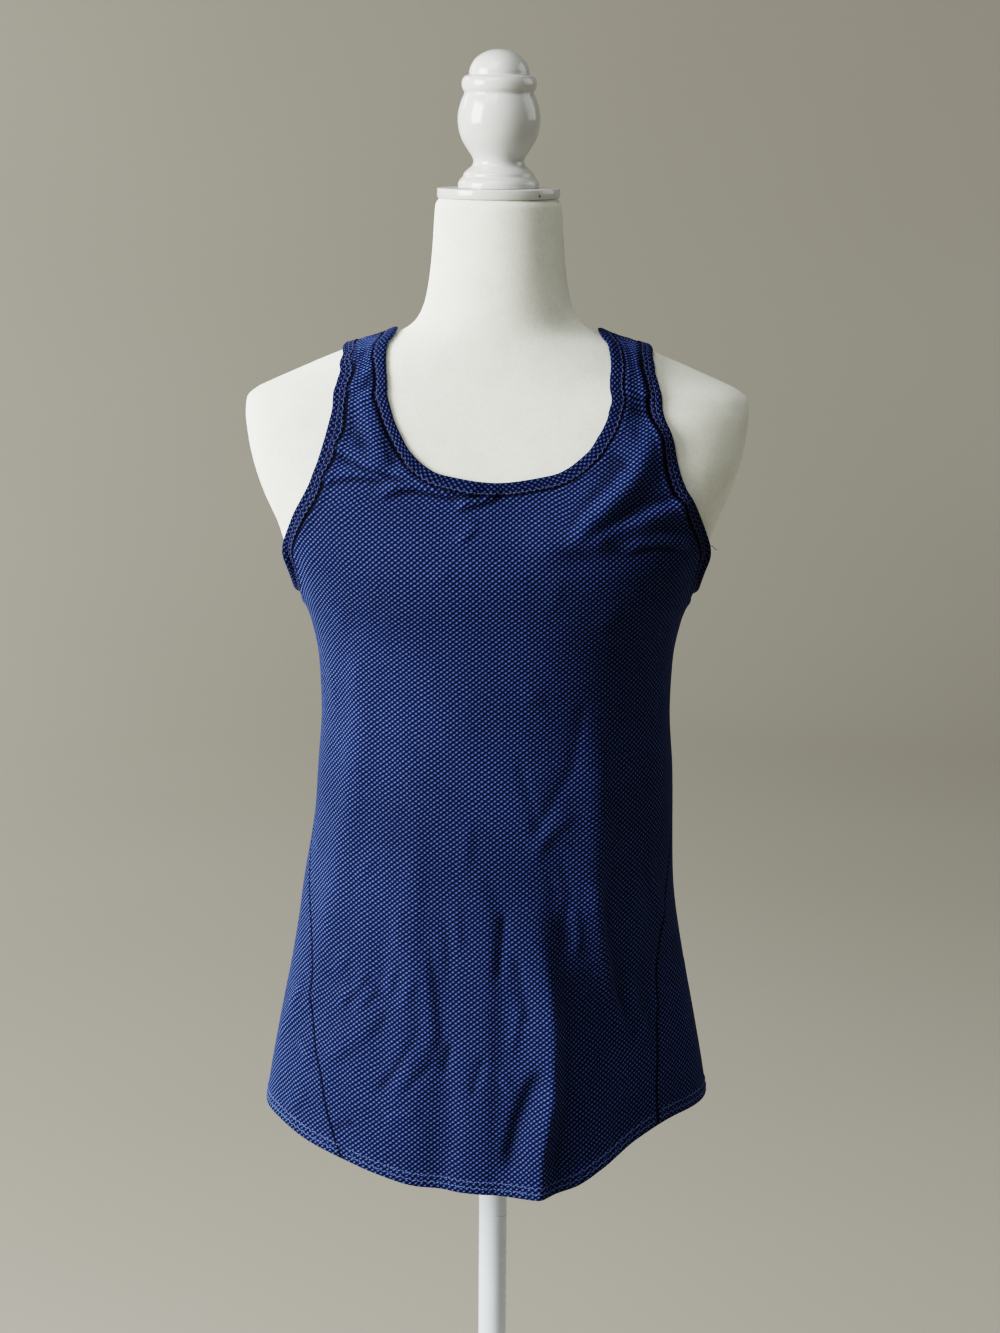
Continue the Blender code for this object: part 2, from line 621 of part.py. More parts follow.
def add_turned(name, rings, steps, colour, roughness):
    """A profile of (height, radius), listed top to bottom down its outside, turned round Z."""
    mesh = bpy.data.meshes.new(name)
    mesh.from_pydata(
        [(ring.radius * MM, 0, ring.height * MM) for ring in rings],
        [(i, i + 1) for i in range(len(rings) - 1)], [],
    )
    thing = add_object(name, mesh, colour, roughness)
    turning = thing.modifiers.new("Turning", "SCREW")
    turning.steps = turning.render_steps = steps
    turning.use_merge_vertices = True
    turning.merge_threshold = 0.00005
    turning.use_smooth_shade = True


def make_stand():
    cap_bottom = NECK_TOP + PIECE_GAP
    cap_top = cap_bottom + CAP_THICKNESS
    add_cylinder("neck_cap", CAP_RADIUS, cap_bottom, cap_top, 48, GLOSS_WHITE, 0.25, bevel=0.8)
    foot = cap_top + PIECE_GAP
    finial = [Ring(foot + ring.height, ring.radius) for ring in reversed(FINIAL)]
    add_turned("finial", [*finial, Ring(foot, 0)], TURNED_STEPS, GLOSS_WHITE, 0.15)
    pole_bottom = BASE_FLOOR + PIECE_GAP
    pole_top = FORM_BOTTOM + POLE_SOCKET_DEPTH - PIECE_GAP
    add_cylinder("pole", POLE_RADIUS, pole_bottom, pole_top, 32, GLOSS_WHITE, 0.25)
    bore = POLE_RADIUS + PIECE_GAP
    socket = [Ring(BASE_FLOOR, 0), Ring(BASE_FLOOR, bore), Ring(BASE[0].height, bore)]
    add_turned("base", [*socket, *BASE, Ring(0, 0)], BASE_STEPS, GLOSS_WHITE, 0.3)


for old in list(bpy.data.objects):
    bpy.data.objects.remove(old)
parts = bpy.data.collections.new("singlet_on_dress_form")
bpy.context.scene.collection.children.link(parts)

neck_opening, armhole_opening = make_openings()
make_panels(neck_opening, armhole_opening)
make_bands(neck_opening, armhole_opening)
make_form()
make_stand()
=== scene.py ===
"""Looks of the running singlet and its dress form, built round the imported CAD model.

Z is up, the front faces -Y. Sizes in the tables are millimetres, as in the part's own source, and
become metres where a mesh is made. A place on the body or the cloth is given by its turn, the
angle in degrees round from the front centre (positive towards +X), and by its height.
"""

import math
from collections import namedtuple

import bpy
import numpy as np
from mathutils import Matrix, Vector


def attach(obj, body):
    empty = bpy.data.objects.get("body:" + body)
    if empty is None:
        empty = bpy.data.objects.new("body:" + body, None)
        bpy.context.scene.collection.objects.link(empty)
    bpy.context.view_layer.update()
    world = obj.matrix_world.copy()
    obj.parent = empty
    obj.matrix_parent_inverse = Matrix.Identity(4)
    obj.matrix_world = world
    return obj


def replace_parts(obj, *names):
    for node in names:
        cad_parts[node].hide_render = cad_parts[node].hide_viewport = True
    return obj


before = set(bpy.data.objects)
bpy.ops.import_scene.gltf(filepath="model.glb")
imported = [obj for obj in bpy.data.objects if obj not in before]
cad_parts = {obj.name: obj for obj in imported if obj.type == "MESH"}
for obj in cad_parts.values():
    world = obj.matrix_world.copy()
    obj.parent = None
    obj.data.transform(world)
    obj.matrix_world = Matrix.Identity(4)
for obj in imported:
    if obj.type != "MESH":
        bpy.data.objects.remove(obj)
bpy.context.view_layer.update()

MM = 0.001

# Driving sizes, the same as the CAD model's.
FORM_BOTTOM = 700.0
NECK_TOP = 1349.9
CLEARANCE = 2.2
SHOULDER_START = 1190.0
CLOTH_THICKNESS = 1.2
BAND_THICKNESS = 2.4
BAND_WIDTH = 10.5
BAND_FLAT_SHARE = 0.35
ARMHOLE_FLARE = 5.8
FLARE_TOP = 1118.0
FLARE_FULL = 1084.0
PIECE_GAP = 0.3
POLE_RADIUS = 11.1
POLE_SOCKET_DEPTH = 80.0
BASE_FLOOR = 3.0
CAP_RADIUS = 46.4
CAP_THICKNESS = 7.3

# Sizes of what only the looks have.
SEAM_GAP = 0.01  # the panels' edges roll in and all but meet
TUCK = 3.0  # how far a panel reaches in between the two layers of a binding
HEM_WIDTH = 11.0
STITCH = 3.0
KNIT_WIDTH = 4.8  # from one raised dot of the knit to the next in its row
KNIT_HEIGHT = 3.74  # two rows; every other row is shifted by half a width
KNIT_LEVEL = 980.0  # the height at which the knit's rows lie level round the body
HEM_ROLL = 1.3  # over this length the hem's lower edge is rounded
HEM_FOLD = 1.15  # how far the hem's turned-up layer stands out on the inside
SEAM_ROLL = 0.62  # how deep the panels' edges roll in at a seam
ARM_PUFF = 1.3  # how far the panel swells beside the armhole's binding
NECK_PUFF = 0.55
NECK_STITCH_ROWS = (8.6,)  # from the band's free edge
ARMHOLE_STITCH_ROWS = (5.2, 8.6)
HEM_STITCH_ROWS = (4.7, 9.5)  # above the hem's edge
LOOSE_THREAD_HEIGHT = 1096.0
TUBE_JOINT = 547.9
PIN_HOLE_TURN = 41.0
PIN_HOLE_HEIGHT = 2.6

# How dark the cloth is drawn where it hides from the light: the share of its colour that is lost.
DARKEST = 0.95
ARM_SHADE = 0.96
NECK_SHADE = 0.88
CREASE_SHADE = 0.5
# and how much lighter the creases' crests are drawn, as a painted highlight
CREST_LIGHT = 0.22
SEAM_SHADE_REACH = 1.25
ARM_SHADE_REACH = 2.9
NECK_SHADE_REACH = 1.4

# How finely the pieces are divided.
COLUMNS = 70
SEAM_ROWS = 150
FRONT_ARM_ROWS = 50
FRONT_TOP_ROWS = 84
BACK_ARM_ROWS = 60
BACK_TOP_ROWS = 46
BAND_STATIONS = (110, 76)  # along half a neckline: its front and back
ARMHOLE_STATIONS = (120, 120)
HEM_ROWS = (0, 0.3, 0.8, 1.6, 3.0, 4.7, 6.6, 8.5, 10.3, 11.2, 12.2, 14)
SEAM_COLUMNS = (2.4, 1.6, 0.8, 0.3, 0)  # the last columns lie this far from the side seam
BINDING_COLUMNS = (6.6, 5.5, 4.2, 3.1, 0)  # and above it this far from their edge in the binding
BODY_STEPS = 160
TURNED_STEPS = 96

Place = namedtuple("Place", "turn height")
Fold = namedtuple("Fold", "depth half_width ends path steep", defaults=(0.0,))
Ring = namedtuple("Ring", "height radius")


def listed(kind, *rows):
    return [kind(*row) for row in rows]


# Sections of the form and of the free cloth: height, half width, depth in front, depth behind and
# how square the oval is.
FORM = [
    (700, 116, 70, 84, 2.2), (740, 125, 78, 93, 2.25), (790, 129, 85, 98, 2.25),
    (850, 125, 87, 91, 2.2), (900, 120, 86, 81, 2.2), (935, 117.5, 85, 75, 2.2),
    (980, 122, 92, 78, 2.2), (1020, 130, 105, 86, 2.3), (1055, 142, 115, 92, 2.45),
    (1072, 150, 118, 94, 2.55), (1089, 161, 117, 95.5, 2.7), (1105, 166, 114, 96, 2.8),
    (1130, 177, 105, 95, 3.0), (1150, 184, 96, 93, 3.1), (1172, 189, 85, 88, 3.0),
    (1190, 191, 76, 82, 2.8), (1200, 190, 71, 78, 2.5), (1206, 184, 68.5, 75, 2.3),
    (1212, 172, 66, 72, 2.1), (1220, 154, 63, 69, 2.0), (1230, 131, 60, 66, 2.0),
    (1240, 105, 57.5, 63, 2.0), (1247, 82, 56, 61, 2.0), (1252, 70, 55, 59.5, 2.0),
    (1260, 61, 54, 58, 2.0), (1272, 55.5, 53, 56, 2.0), (1290, 52, 51.5, 54, 2.0),
    (1315, 49.5, 49.5, 51, 2.0), (1340, 48, 48, 49, 2.0), (1346, 47.2, 47.2, 48, 2.0),
    (1349.9, 44.5, 44.5, 45, 2.0),
]
CLOTH = [
    (595, 180, 119, 125, 2.3), (646, 173.5, 115, 121, 2.3), (671, 169.5, 113, 119, 2.3),
    (720, 160.5, 109, 116, 2.25), (769, 151, 106, 113, 2.2), (817, 144, 105, 108, 2.2),
    (866, 140, 105, 102, 2.2), (914, 137, 106, 96, 2.2), (961, 134, 108, 92, 2.2),
    (1000, 135.5, 112, 92, 2.25), (1032, 141.5, 117, 94, 2.35), (1047, 147, 119, 95, 2.45),
    (1062, 151.5, 120.3, 96.5, 2.55), (1078, 156, 120.5, 97, 2.65), (1100, 160, 114, 96, 2.8),
]
FREE_CLOTH_TOP = 1100.0
FREE_CLOTH_FADE = 70.0
FREE_CLOTH_DROP = 150.0
HELD_FOLDS_START = 1070.0
BLEND_WIDTH = 3.0

NECK_FRONT = listed(
    Place, (0, 1147), (20, 1151.6), (28.5, 1157.3), (36, 1168.2), (41, 1179.5), (45.4, 1190.6),
    (49.5, 1202.5), (53.6, 1214.5), (57, 1224), (61, 1234.5), (66.5, 1243.4), (76, 1250),
    (90, 1252.4),
)
NECK_BACK = listed(
    Place, (90, 1252.4), (106, 1249.6), (122, 1242), (140, 1231.5), (160, 1223), (180, 1219.5),
)
ARMHOLE_FRONT = listed(
    Place, (92, 1056.5), (84, 1059), (78, 1066), (74, 1078), (71, 1092), (67.2, 1105.8), (63.1, 1119.4),
    (60.2, 1132), (58.7, 1144), (58.5, 1156), (59.2, 1170), (60.3, 1183), (62, 1195.5),
    (64.8, 1207), (68.6, 1217.6), (72.2, 1226.5), (78.5, 1235), (90, 1238.8),
)
ARMHOLE_BACK = listed(
    Place, (90, 1238.8), (103, 1236), (117, 1227), (131, 1211), (142.5, 1189), (150.5, 1165),
    (153.6, 1143), (151.5, 1121), (144.5, 1103), (134, 1087), (120, 1071.5), (105, 1060.5),
    (92, 1056.5),
)
SIDE_SEAM_RIGHT = listed(
    Place, (64, 630), (65.5, 670), (68, 698.5), (70.5, 730), (73, 764), (77, 800), (85, 870), (90, 960),
    (92, 1060),
)
SIDE_SEAM_LEFT = listed(
    Place, (50, 622), (56.4, 658.7), (60, 685.6), (64.3, 712), (68.2, 740), (72, 780), (79, 823),
    (87, 880), (90.5, 960), (92, 1060),
)
HEM = listed(
    Place, (-180, 597), (-150, 608), (-120, 632), (-90, 646), (-77, 643.5), (-62, 633.5), (-51, 626),
    (-40.6, 618), (-26, 609.5), (-1.5, 606), (17, 604.5), (28.8, 608), (40.3, 618.5), (56, 636),
    (73.5, 646.5), (90, 648), (120, 635), (150, 608), (180, 597),
)

FOLD_RADIUS = 125.0
# Paths that a large fold and a narrow crease share: the long ridge from the bust to the hem, and
# two folds pulled from the strap and from the armhole across the chest.
LONG_RIDGE = [
    (15.5, 850), (17.5, 800), (21.3, 760), (22, 726), (20.5, 677), (16.5, 637), (14, 560),
]
STRAP_PULL = [
    (58, 1196), (53, 1178), (49, 1165), (46, 1156), (41, 1143), (36, 1133), (31, 1122), (26, 1108),
    (22, 1098),
]
ARM_PULL = [(62, 1134), (58, 1131), (50, 1126), (45, 1120), (39, 1114), (33, 1107), (27, 1097)]
# The large folds, as in the CAD model: depth, half width, how long it fades at its ends, path and
# steep, which narrows the fold's left-hand flank, seen along its path.
FOLDS = listed(
    Fold,
    # the long ridge, the lap beside its foot and the flat cloth on its right
    (9.5, 16, 130, LONG_RIDGE, 0.4),
    (-5.5, 9, 28, [(21, 712), (14.5, 688), (10, 664), (7, 641), (5, 615)], -0.35),
    (-22, 60, 190, [(63, 930), (63, 560)]),
    (4.5, 13, 70, [(37, 985), (39.5, 930), (40.5, 870), (40.5, 820), (47, 770), (51, 715)], 0.25),
    (-2.2, 8, 35, [(22, 885), (24.5, 860), (28.5, 805), (30, 770)]),
    (2.5, 9, 50, [(58, 880), (61, 830), (61.4, 772), (57.3, 700)]),
    # below the waist the cloth stands off both hips, more so on the left
    (5.5, 30, 80, [(-90, 890), (-89, 800), (-88, 700), (-86, 560)]),
    (2.9, 26, 80, [(88, 830), (88, 780), (87, 700), (86, 560)]),
    # soft folds of the lower front
    (1.6, 11, 60, [(-8, 875), (-5.5, 841), (-2.5, 813), (-2.5, 748), (-4, 640), (-4, 560)], 0.35),
    (-1.6, 12, 100, [(-19.7, 880), (-20.2, 755), (-20.5, 590)]),
    (1.8, 9, 90, [(-29.9, 930), (-32.8, 785), (-33.3, 660)], 0.3),
    (-2.0, 11, 90, [(-43.4, 860), (-43.8, 751), (-39.1, 630)]),
    (-3.2, 16, 60, [(-22, 735), (-19, 693), (-17.6, 654), (-19.6, 615), (-20, 560)], 0.4),
    (3.6, 14, 90, [(-48, 1045), (-52, 960), (-56, 901), (-61, 836), (-66, 779), (-66, 740)], 0.2),
    (2.4, 8, 22, [(-41, 757), (-44.4, 743), (-49.3, 723), (-58.4, 703), (-64, 694)], 0.4),
    (2.2, 8, 20, [(-64, 755), (-72, 735), (-80, 712), (-86, 700)], 0.3),
    # cloth pulled between the armholes, the straps and the neckline
    (2.2, 30, 60, [(-60, 1062), (-35, 1070), (0, 1078), (35, 1070)]),
    (6, 17, 45, [(57, 1210), (54, 1188), (49, 1172), (41.5, 1152), (32.5, 1132), (22.5, 1112),
                 (8, 1086)], 0.25),
    (6, 10, 20, STRAP_PULL, -0.45),
    (4.5, 8, 18, ARM_PULL, -0.4),
    (3.8, 7, 16, [(66, 1236), (60, 1220), (53, 1203), (49.5, 1188), (46.5, 1172), (43, 1156)]),
    # the back, between the shoulder blades and the hem
    (4.8, 16, 120, [(168, 900), (166, 760), (162, 570)], 0.3),
    (-4.0, 14, 110, [(-172, 900), (-174, 760), (-177, 570)]),
    (4.8, 15, 120, [(-148, 930), (-147, 770), (-142, 570)], -0.3),
    (-3.6, 13, 110, [(146, 880), (143, 740), (140, 570)]),
    (3.8, 14, 110, [(126, 960), (122, 800), (117, 580)], 0.2),
    (-3.0, 12, 100, [(-128, 900), (-124, 760), (-120, 590)]),
    (3.4, 13, 100, [(-106, 980), (-104, 820), (-101, 600)], -0.2),
    (4.0, 9, 32, [(163, 1128), (150, 1100), (134, 1072), (118, 1050)], 0.25),
    (3.8, 9, 32, [(-160, 1122), (-146, 1092), (-131, 1062), (-117, 1036)], -0.25),
)
# Narrow creases, which the CAD model's cloth is too coarse to hold.
CREASES = listed(
    Fold,
    # the edge of the long ridge, and where it starts
    (2.4, 6, 60, LONG_RIDGE[1:], 0.4),
    (-1, 5, 20, [(33.5, 990), (32, 965), (29.9, 933), (23.8, 912), (17.3, 888), (15, 870)]),
    (1.3, 6, 15, [(31, 905), (29.5, 898), (19.4, 879), (14.5, 862)], 0.3),
    (-0.7, 4, 15, [(9, 945), (10.5, 930), (16.1, 895), (17, 880)]),
    (2.6, 6.5, 24, [(39, 850), (42, 815), (45, 785), (49, 755), (53, 728), (56, 705)], 0.2),
    (1.3, 5, 16, [(66, 790), (70, 755), (70.5, 720)], 0.3),
    (1.2, 5, 14, [(58, 760), (63, 725), (66, 700)], 0.2),
    (1.6, 5, 18, [(23, 872), (27, 838), (27, 808)], 0.3),
    (1.2, 4, 12, [(31, 830), (34, 800), (33, 782)], 0.3),
    (2.1, 6, 28, [(64, 870), (66, 852), (77.7, 800), (80, 780)]),
    (1.2, 5, 15, [(66, 734), (61, 713), (59, 698)]),
    (1, 6, 20, [(43, 735), (39, 705), (36, 680)]),
    (1.2, 6, 18, [(21, 987), (14, 990), (7, 996)], -0.2),
    # the lower front
    (-1.6, 4.5, 14, [(4, 828), (3.1, 810), (1.6, 780), (1, 765)]),
    (-1.2, 5, 16, [(8.5, 795), (9.3, 781), (13.1, 742), (14, 730)]),
    (1.2, 4, 14, [(10, 756), (8.5, 735), (6, 710)], 0.3),
    (1.4, 4, 10, [(2, 702), (4, 692), (7.5, 678)], -0.2),
    (2.3, 6.5, 26, [(-29, 800), (-27.5, 773), (-24, 727), (-28.5, 705)], 0.4),
    (-1.8, 5, 18, [(-29, 732), (-30.7, 724), (-36.3, 700), (-41.8, 682), (-44, 674)], -0.2),
    (-1.4, 4.5, 14, [(-22, 712), (-23.7, 708), (-32.7, 684), (-36, 676)], -0.2),
    (-1.6, 4.5, 12, [(-17, 727), (-17.4, 721), (-19.9, 701), (-21, 692)]),
    (-1.4, 4.5, 10, [(-4.2, 716), (-4.8, 710), (-8.4, 684), (-9, 678)]),
    (1.4, 5, 12, [(-55, 791), (-61, 763)], 0.3),
    (1.9, 4.5, 10, [(-53, 762), (-58, 739)], 0.4),
    (1.8, 4.5, 12, [(-46, 763), (-52, 737)], 0.4),
    (1.4, 4, 12, [(-48.5, 778), (-54, 747)], 0.3),
    (1.6, 4.5, 13, [(-38.5, 786), (-42, 751)], 0.3),
    (1.4, 4.5, 13, [(-31, 776), (-36, 741)], 0.3),
    (1.2, 5, 14, [(-47, 869), (-54, 836)], 0.3),
    (1.1, 5, 16, [(-22, 812), (-21, 766)], 0.3),
    (1.1, 5, 16, [(-16, 836), (-15, 786)], 0.3),
    (1.2, 5, 18, [(-37, 833), (-38, 783)], 0.3),
    (1.1, 6, 18, [(-10, 898), (-13, 848)], 0.3),
    (2.3, 5, 12, [(-73, 753), (-79, 724)], 0.3),
    (1.8, 5, 8, [(-71, 710), (-64, 692)], -0.3),
    (1.8, 5, 10, [(-65, 674), (-71, 650)], 0.3),
    (1.4, 5, 9, [(-27, 670), (-40, 661)], -0.3),
    (-1.2, 4.5, 9, [(-46, 658), (-56, 646)], 0.2),
    # straps and chest
    (2.2, 8, 18, STRAP_PULL[:7], -0.3),
    (1.8, 7, 16, ARM_PULL[:5], -0.3),
    (3.0, 5, 14, [(62, 1097), (54, 1103), (50, 1105), (45, 1104), (38, 1098)], 0.3),
    (2.8, 7, 14, [(53, 1214), (47, 1195), (42, 1178), (37, 1163), (34, 1155)], -0.3),
    (2.1, 4.5, 8, [(69, 1226), (63, 1215), (60, 1203)], 0.4),
    (4.4, 5, 14, [(-59, 1214), (-57, 1206), (-51, 1189), (-47, 1176), (-43, 1163), (-40, 1153)], 0.5),
    (4.2, 5, 14, [(-59, 1177), (-57, 1174), (-51, 1166), (-46, 1161), (-38, 1155), (-30, 1151)], -0.5),
    (3.0, 5, 12, [(-58, 1143), (-56, 1147), (-52, 1152), (-49, 1153.5), (-44, 1153), (-38, 1151)], -0.4),
    (4.6, 5.5, 16, [(-43, 1137), (-38, 1142), (-35, 1145), (-30, 1146), (-25, 1144), (-19, 1142),
                    (-10, 1141.5), (-3, 1145)], -0.5),
    (3.2, 4.5, 12, [(-17, 1130), (-13, 1132.5), (-7, 1135.5), (-2, 1138.5), (3, 1142)], -0.5),
    (1.4, 4, 8, [(-6.5, 1120), (-7.3, 1118), (-13.7, 1106), (-15, 1103)], 0.3),
    (2.3, 4.5, 8, [(-64, 1230), (-63.2, 1224), (-61.5, 1211), (-61, 1206)], 0.4),
    (2.1, 4.5, 8, [(-74, 1243), (-71.6, 1232), (-69, 1226)], 0.4),
    (1, 5, 14, [(-14, 1093), (-22, 1071)], 0.3),
    (1.3, 6, 24, [(-50, 1062), (-59, 1024)], 0.3),
    (1, 6, 24, [(-48, 1030), (-56, 979)], 0.3),
    (0.9, 6, 18, [(-68, 1008), (-67, 957)], 0.3),
    (1, 6, 18, [(40, 1064), (36, 1031)], 0.3),
    (0.9, 6, 16, [(21, 1088), (18, 1049)], 0.3),
    # the back and the sides
    (2.0, 6, 18, [(158, 1172), (166, 1150), (172, 1120)], 0.3),
    (2.0, 6, 18, [(-157, 1176), (-165, 1152), (-170, 1124)], -0.3),
    (1.8, 6, 16, [(171, 1205), (164, 1188), (157, 1182)], 0.3),
    (1.6, 6, 16, [(-172, 1202), (-165, 1190), (-158, 1186)], -0.3),
    (2.2, 6, 20, [(152, 1112), (138, 1080), (127, 1062)], 0.3),
    (2.2, 6, 20, [(-148, 1106), (-136, 1080), (-124, 1060)], -0.3),
    (1.4, 6, 16, [(172, 1100), (180, 1094), (-170, 1096)], -0.2),
    (-1.0, 5, 22, [(176, 960), (170, 900), (172, 860)]),
    (-1.0, 5, 22, [(-160, 880), (-156, 830), (-158, 780)]),
    (1.1, 5, 18, [(150, 840), (156, 800), (154, 760)], 0.3),
    (1.1, 5, 16, [(-132, 760), (-139, 730), (-137, 700)], 0.3),
    (1.0, 5, 16, [(132, 730), (138, 700), (141, 672)], 0.3),
    (-0.9, 5, 16, [(-176, 740), (178, 705), (177, 670)]),
    (1.2, 6, 22, [(104, 1020), (112, 975), (115, 930)], 0.3),
    (1.2, 6, 22, [(-102, 1012), (-110, 960), (-112, 920)], -0.3),
    (1.1, 5, 16, [(96, 760), (104, 735), (108, 705)], 0.3),
    (1.1, 5, 16, [(-94, 780), (-101, 750), (-104, 715)], -0.3),
)

# Rings of the finial, at heights over the neck cap, and of the base, over the floor.
FINIAL = listed(
    Ring, (0, 30.6), (3.4, 30.6), (6, 29.2), (8.4, 27.0), (10.6, 26.3), (12.9, 24.2), (16.6, 20.0),
    (20.3, 19.2), (24, 20.8), (27.7, 23.3), (35.1, 27.8), (42.5, 30.2), (49.9, 31.1), (57.2, 30.5),
    (64.6, 28.4), (69.6, 26.2), (71.4, 26.6), (74, 27.9), (78.5, 28.1), (82.2, 26.2), (83.6, 22.9),
    (86.6, 22.5), (90.4, 21.2), (94.2, 18.9), (97.6, 15.4), (100.4, 10.4), (101.9, 5.2), (102.3, 0),
)
BASE = listed(
    Ring, (34, 16.5), (32, 18.5), (18, 19.5), (15, 24), (13, 40), (9, 120), (7.5, 155), (5, 163.5),
    (2.5, 165), (0, 164),
)


# ---- the cloth's and the form's shape, by the CAD model's own rules ----


def curve_through(table, heights):
    """Every later column of a table at the given heights: a smooth curve with no overshoot."""
    rows = np.array(table, float)
    at, values = rows[:, 0], rows[:, 1:]
    heights = np.clip(np.asarray(heights, float), at[0], at[-1])
    k = np.clip(np.searchsorted(at, heights, side="right") - 1, 0, len(at) - 2)
    step = np.diff(at)[:, None]
    slope = np.diff(values, axis=0) / step
    tangent = np.zeros_like(values)
    before, after = 2 * step[1:] + step[:-1], step[1:] + 2 * step[:-1]
    one_way = slope[:-1] * slope[1:] > 0
    safe = np.where(one_way, slope[:-1] * slope[1:], 1.0)
    mean = (before + after) * safe / (before * slope[1:] + after * slope[:-1] + (~one_way))
    tangent[1:-1] = np.where(one_way, mean, 0.0)
    tangent[0], tangent[-1] = slope[0], slope[-1]
    u = ((heights - at[k]) / step[k, 0])[..., None]
    h = step[k]
    return (
        (1 + 2 * u) * (1 - u) ** 2 * values[k]
        + u * (1 - u) ** 2 * h * tangent[k]
        + u * u * (3 - 2 * u) * values[k + 1]
        + u * u * (u - 1) * h * tangent[k + 1]
    )


def ease(x):
    """0 to 1, starting and ending softly."""
    x = np.clip(x, 0.0, 1.0)
    return x * x * (3 - 2 * x)


def hump(x, middle, width, power=2):
    """1 at the middle, falling to 0 on both sides."""
    return np.exp(-(((x - middle) / width) ** power))


def section_radius(table, turn, height):
    """Distance from the axis to a squared oval with its own front and back depths."""
    half_width, front, back, squareness = np.moveaxis(curve_through(table, height), -1, 0)
    across, ahead = np.sin(np.radians(turn)), np.cos(np.radians(turn))
    deep = np.where(ahead > 0, front, back)
    reach = np.abs(across / half_width) ** squareness + np.abs(ahead / deep) ** squareness
    return reach ** (-1 / squareness)


def softly_largest(a, b, width):
    top = np.maximum(a, b)
    return top + width * np.log(np.exp((a - top) / width) + np.exp((b - top) / width))


def fold_rise(turn, height, folds):
    """How far these folds push the cloth out."""
    rise = np.zeros(np.broadcast(turn, height).shape)
    for fold in folds:
        path = np.array(fold.path, float)
        path[:, 0] = np.unwrap(path[:, 0], period=360)
        steps = np.diff(path, axis=0) * (math.radians(FOLD_RADIUS), 1)
        lengths = np.hypot(steps[:, 0], steps[:, 1])
        start = np.concatenate([[0], np.cumsum(lengths)])
        nearest = np.full(rise.shape, np.inf)
        place, side = np.zeros(rise.shape), np.zeros(rise.shape)
        for i, (step, length) in enumerate(zip(steps, lengths)):
            east = ((turn - path[i, 0] + 180) % 360 - 180) * math.radians(FOLD_RADIUS)
            north = height - path[i, 1]
            t = np.clip((east * step[0] + north * step[1]) / length**2, 0, 1)
            away = np.hypot(east - t * step[0], north - t * step[1])
            closer = away < nearest
            nearest = np.where(closer, away, nearest)
            place = np.where(closer, start[i] + t * length, place)
            side = np.where(closer, (north * step[0] - east * step[1]) / length, side)
        fade = ease(place / fold.ends)
        if path[-1, 1] >= HEM[0].height:  # else it runs out over the hem and doesn't fade there
            fade = fade * ease((start[-1] - place) / fold.ends)
        lean = side / (np.abs(side) + 0.35 * fold.half_width)
        width = fold.half_width * (1 - fold.steep * lean)
        rise += fold.depth * fade * hump(nearest, 0, width)
    return rise


def cloth_radius(turn, height):
    """Distance from the axis to the middle of the cloth, folds included."""
    turn, height = np.asarray(turn, float), np.asarray(height, float)
    lift = CLEARANCE * ease((height - SHOULDER_START) / 25)
    resting = section_radius(FORM, turn, height - lift) + CLEARANCE
    hanging = section_radius(CLOTH, turn, np.minimum(height, FREE_CLOTH_TOP))
    rise = fold_rise(turn, height, FOLDS + CREASES)
    hanging = hanging + rise
    hanging = hanging - FREE_CLOTH_DROP * ease((height - FREE_CLOTH_TOP) / FREE_CLOTH_FADE)
    held = resting + np.maximum(rise, 0) * ease((height - HELD_FOLDS_START) / 30)
    return softly_largest(held, hanging, BLEND_WIDTH)


def at_radius(radius, turn, height):
    angle = np.radians(turn)
    return np.stack([radius * np.sin(angle), -radius * np.cos(angle), height + 0 * radius], -1)


def cloth_point(turn, height):
    return at_radius(cloth_radius(turn, height), turn, height)


def cloth_tangents(turn, height):
    """How a point of the cloth moves per degree of turn and per millimetre of height."""
    by_turn = (cloth_point(turn + 0.2, height) - cloth_point(turn - 0.2, height)) / 0.4
    by_height = (cloth_point(turn, height + 0.3) - cloth_point(turn, height - 0.3)) / 0.6
    return by_turn, by_height


def dot(a, b):
    return (a * b).sum(-1)


def unit(vectors):
    return vectors / np.linalg.norm(vectors, axis=-1, keepdims=True)


def cloth_normal(turn, height):
    return unit(np.cross(*cloth_tangents(turn, height)))


def hollow(turn, height):
    """How a place lies in the creases, from 1 at a crease's foot to -1 on its crest."""
    aside, away, deepest, flattest = 1.3, 2.8, 1.2, 0.07
    around = cloth_radius(turn - aside, height) + cloth_radius(turn + aside, height)
    around = around + cloth_radius(turn, height - away) + cloth_radius(turn, height + away)
    bend = (around - 4 * cloth_radius(turn, height)) / deepest
    return np.sign(bend) * ease(np.abs(bend) - flattest)


def walk(turn, height, direction, distance):
    """Places reached by going that far over the cloth, in that direction."""
    steps = 6
    for _ in range(steps):
        by_turn, by_height = cloth_tangents(turn, height)
        a, b, c = dot(by_turn, by_turn), dot(by_turn, by_height), dot(by_height, by_height)
        p, q = dot(by_turn, direction), dot(by_height, direction)
        scale = distance / steps / (a * c - b * b)
        turn, height = turn + (c * p - b * q) * scale, height + (a * q - b * p) * scale
    return turn, height


def lengths_along(points):
    """How far each point of a line is from its start, measured along it."""
    steps = np.linalg.norm(np.diff(points, axis=0), axis=-1)
    return np.concatenate([np.zeros((1, *steps.shape[1:])), np.cumsum(steps, 0)])


def resampled(values, along, at):
    return np.stack([np.interp(at, along, column) for column in values.T], 1)


def mirrored(line):
    return np.stack([-line[:, 0], line[:, 1]], 1)


def smooth_line(places, per_span=24):
    """A Catmull-Rom curve through places; the first and last are guides that it doesn't reach."""
    p = np.array(places, float)
    t = np.arange(per_span)[:, None] / per_span
    spans = [
        0.5 * (2 * b + (c - a) * t + (2 * a - 5 * b + 4 * c - d) * t**2
               + (3 * b - a - 3 * c + d) * t**3)
        for a, b, c, d in zip(p[:-3], p[1:-2], p[2:-1], p[3:])
    ]
    return np.concatenate([*spans, p[-2:-1]])


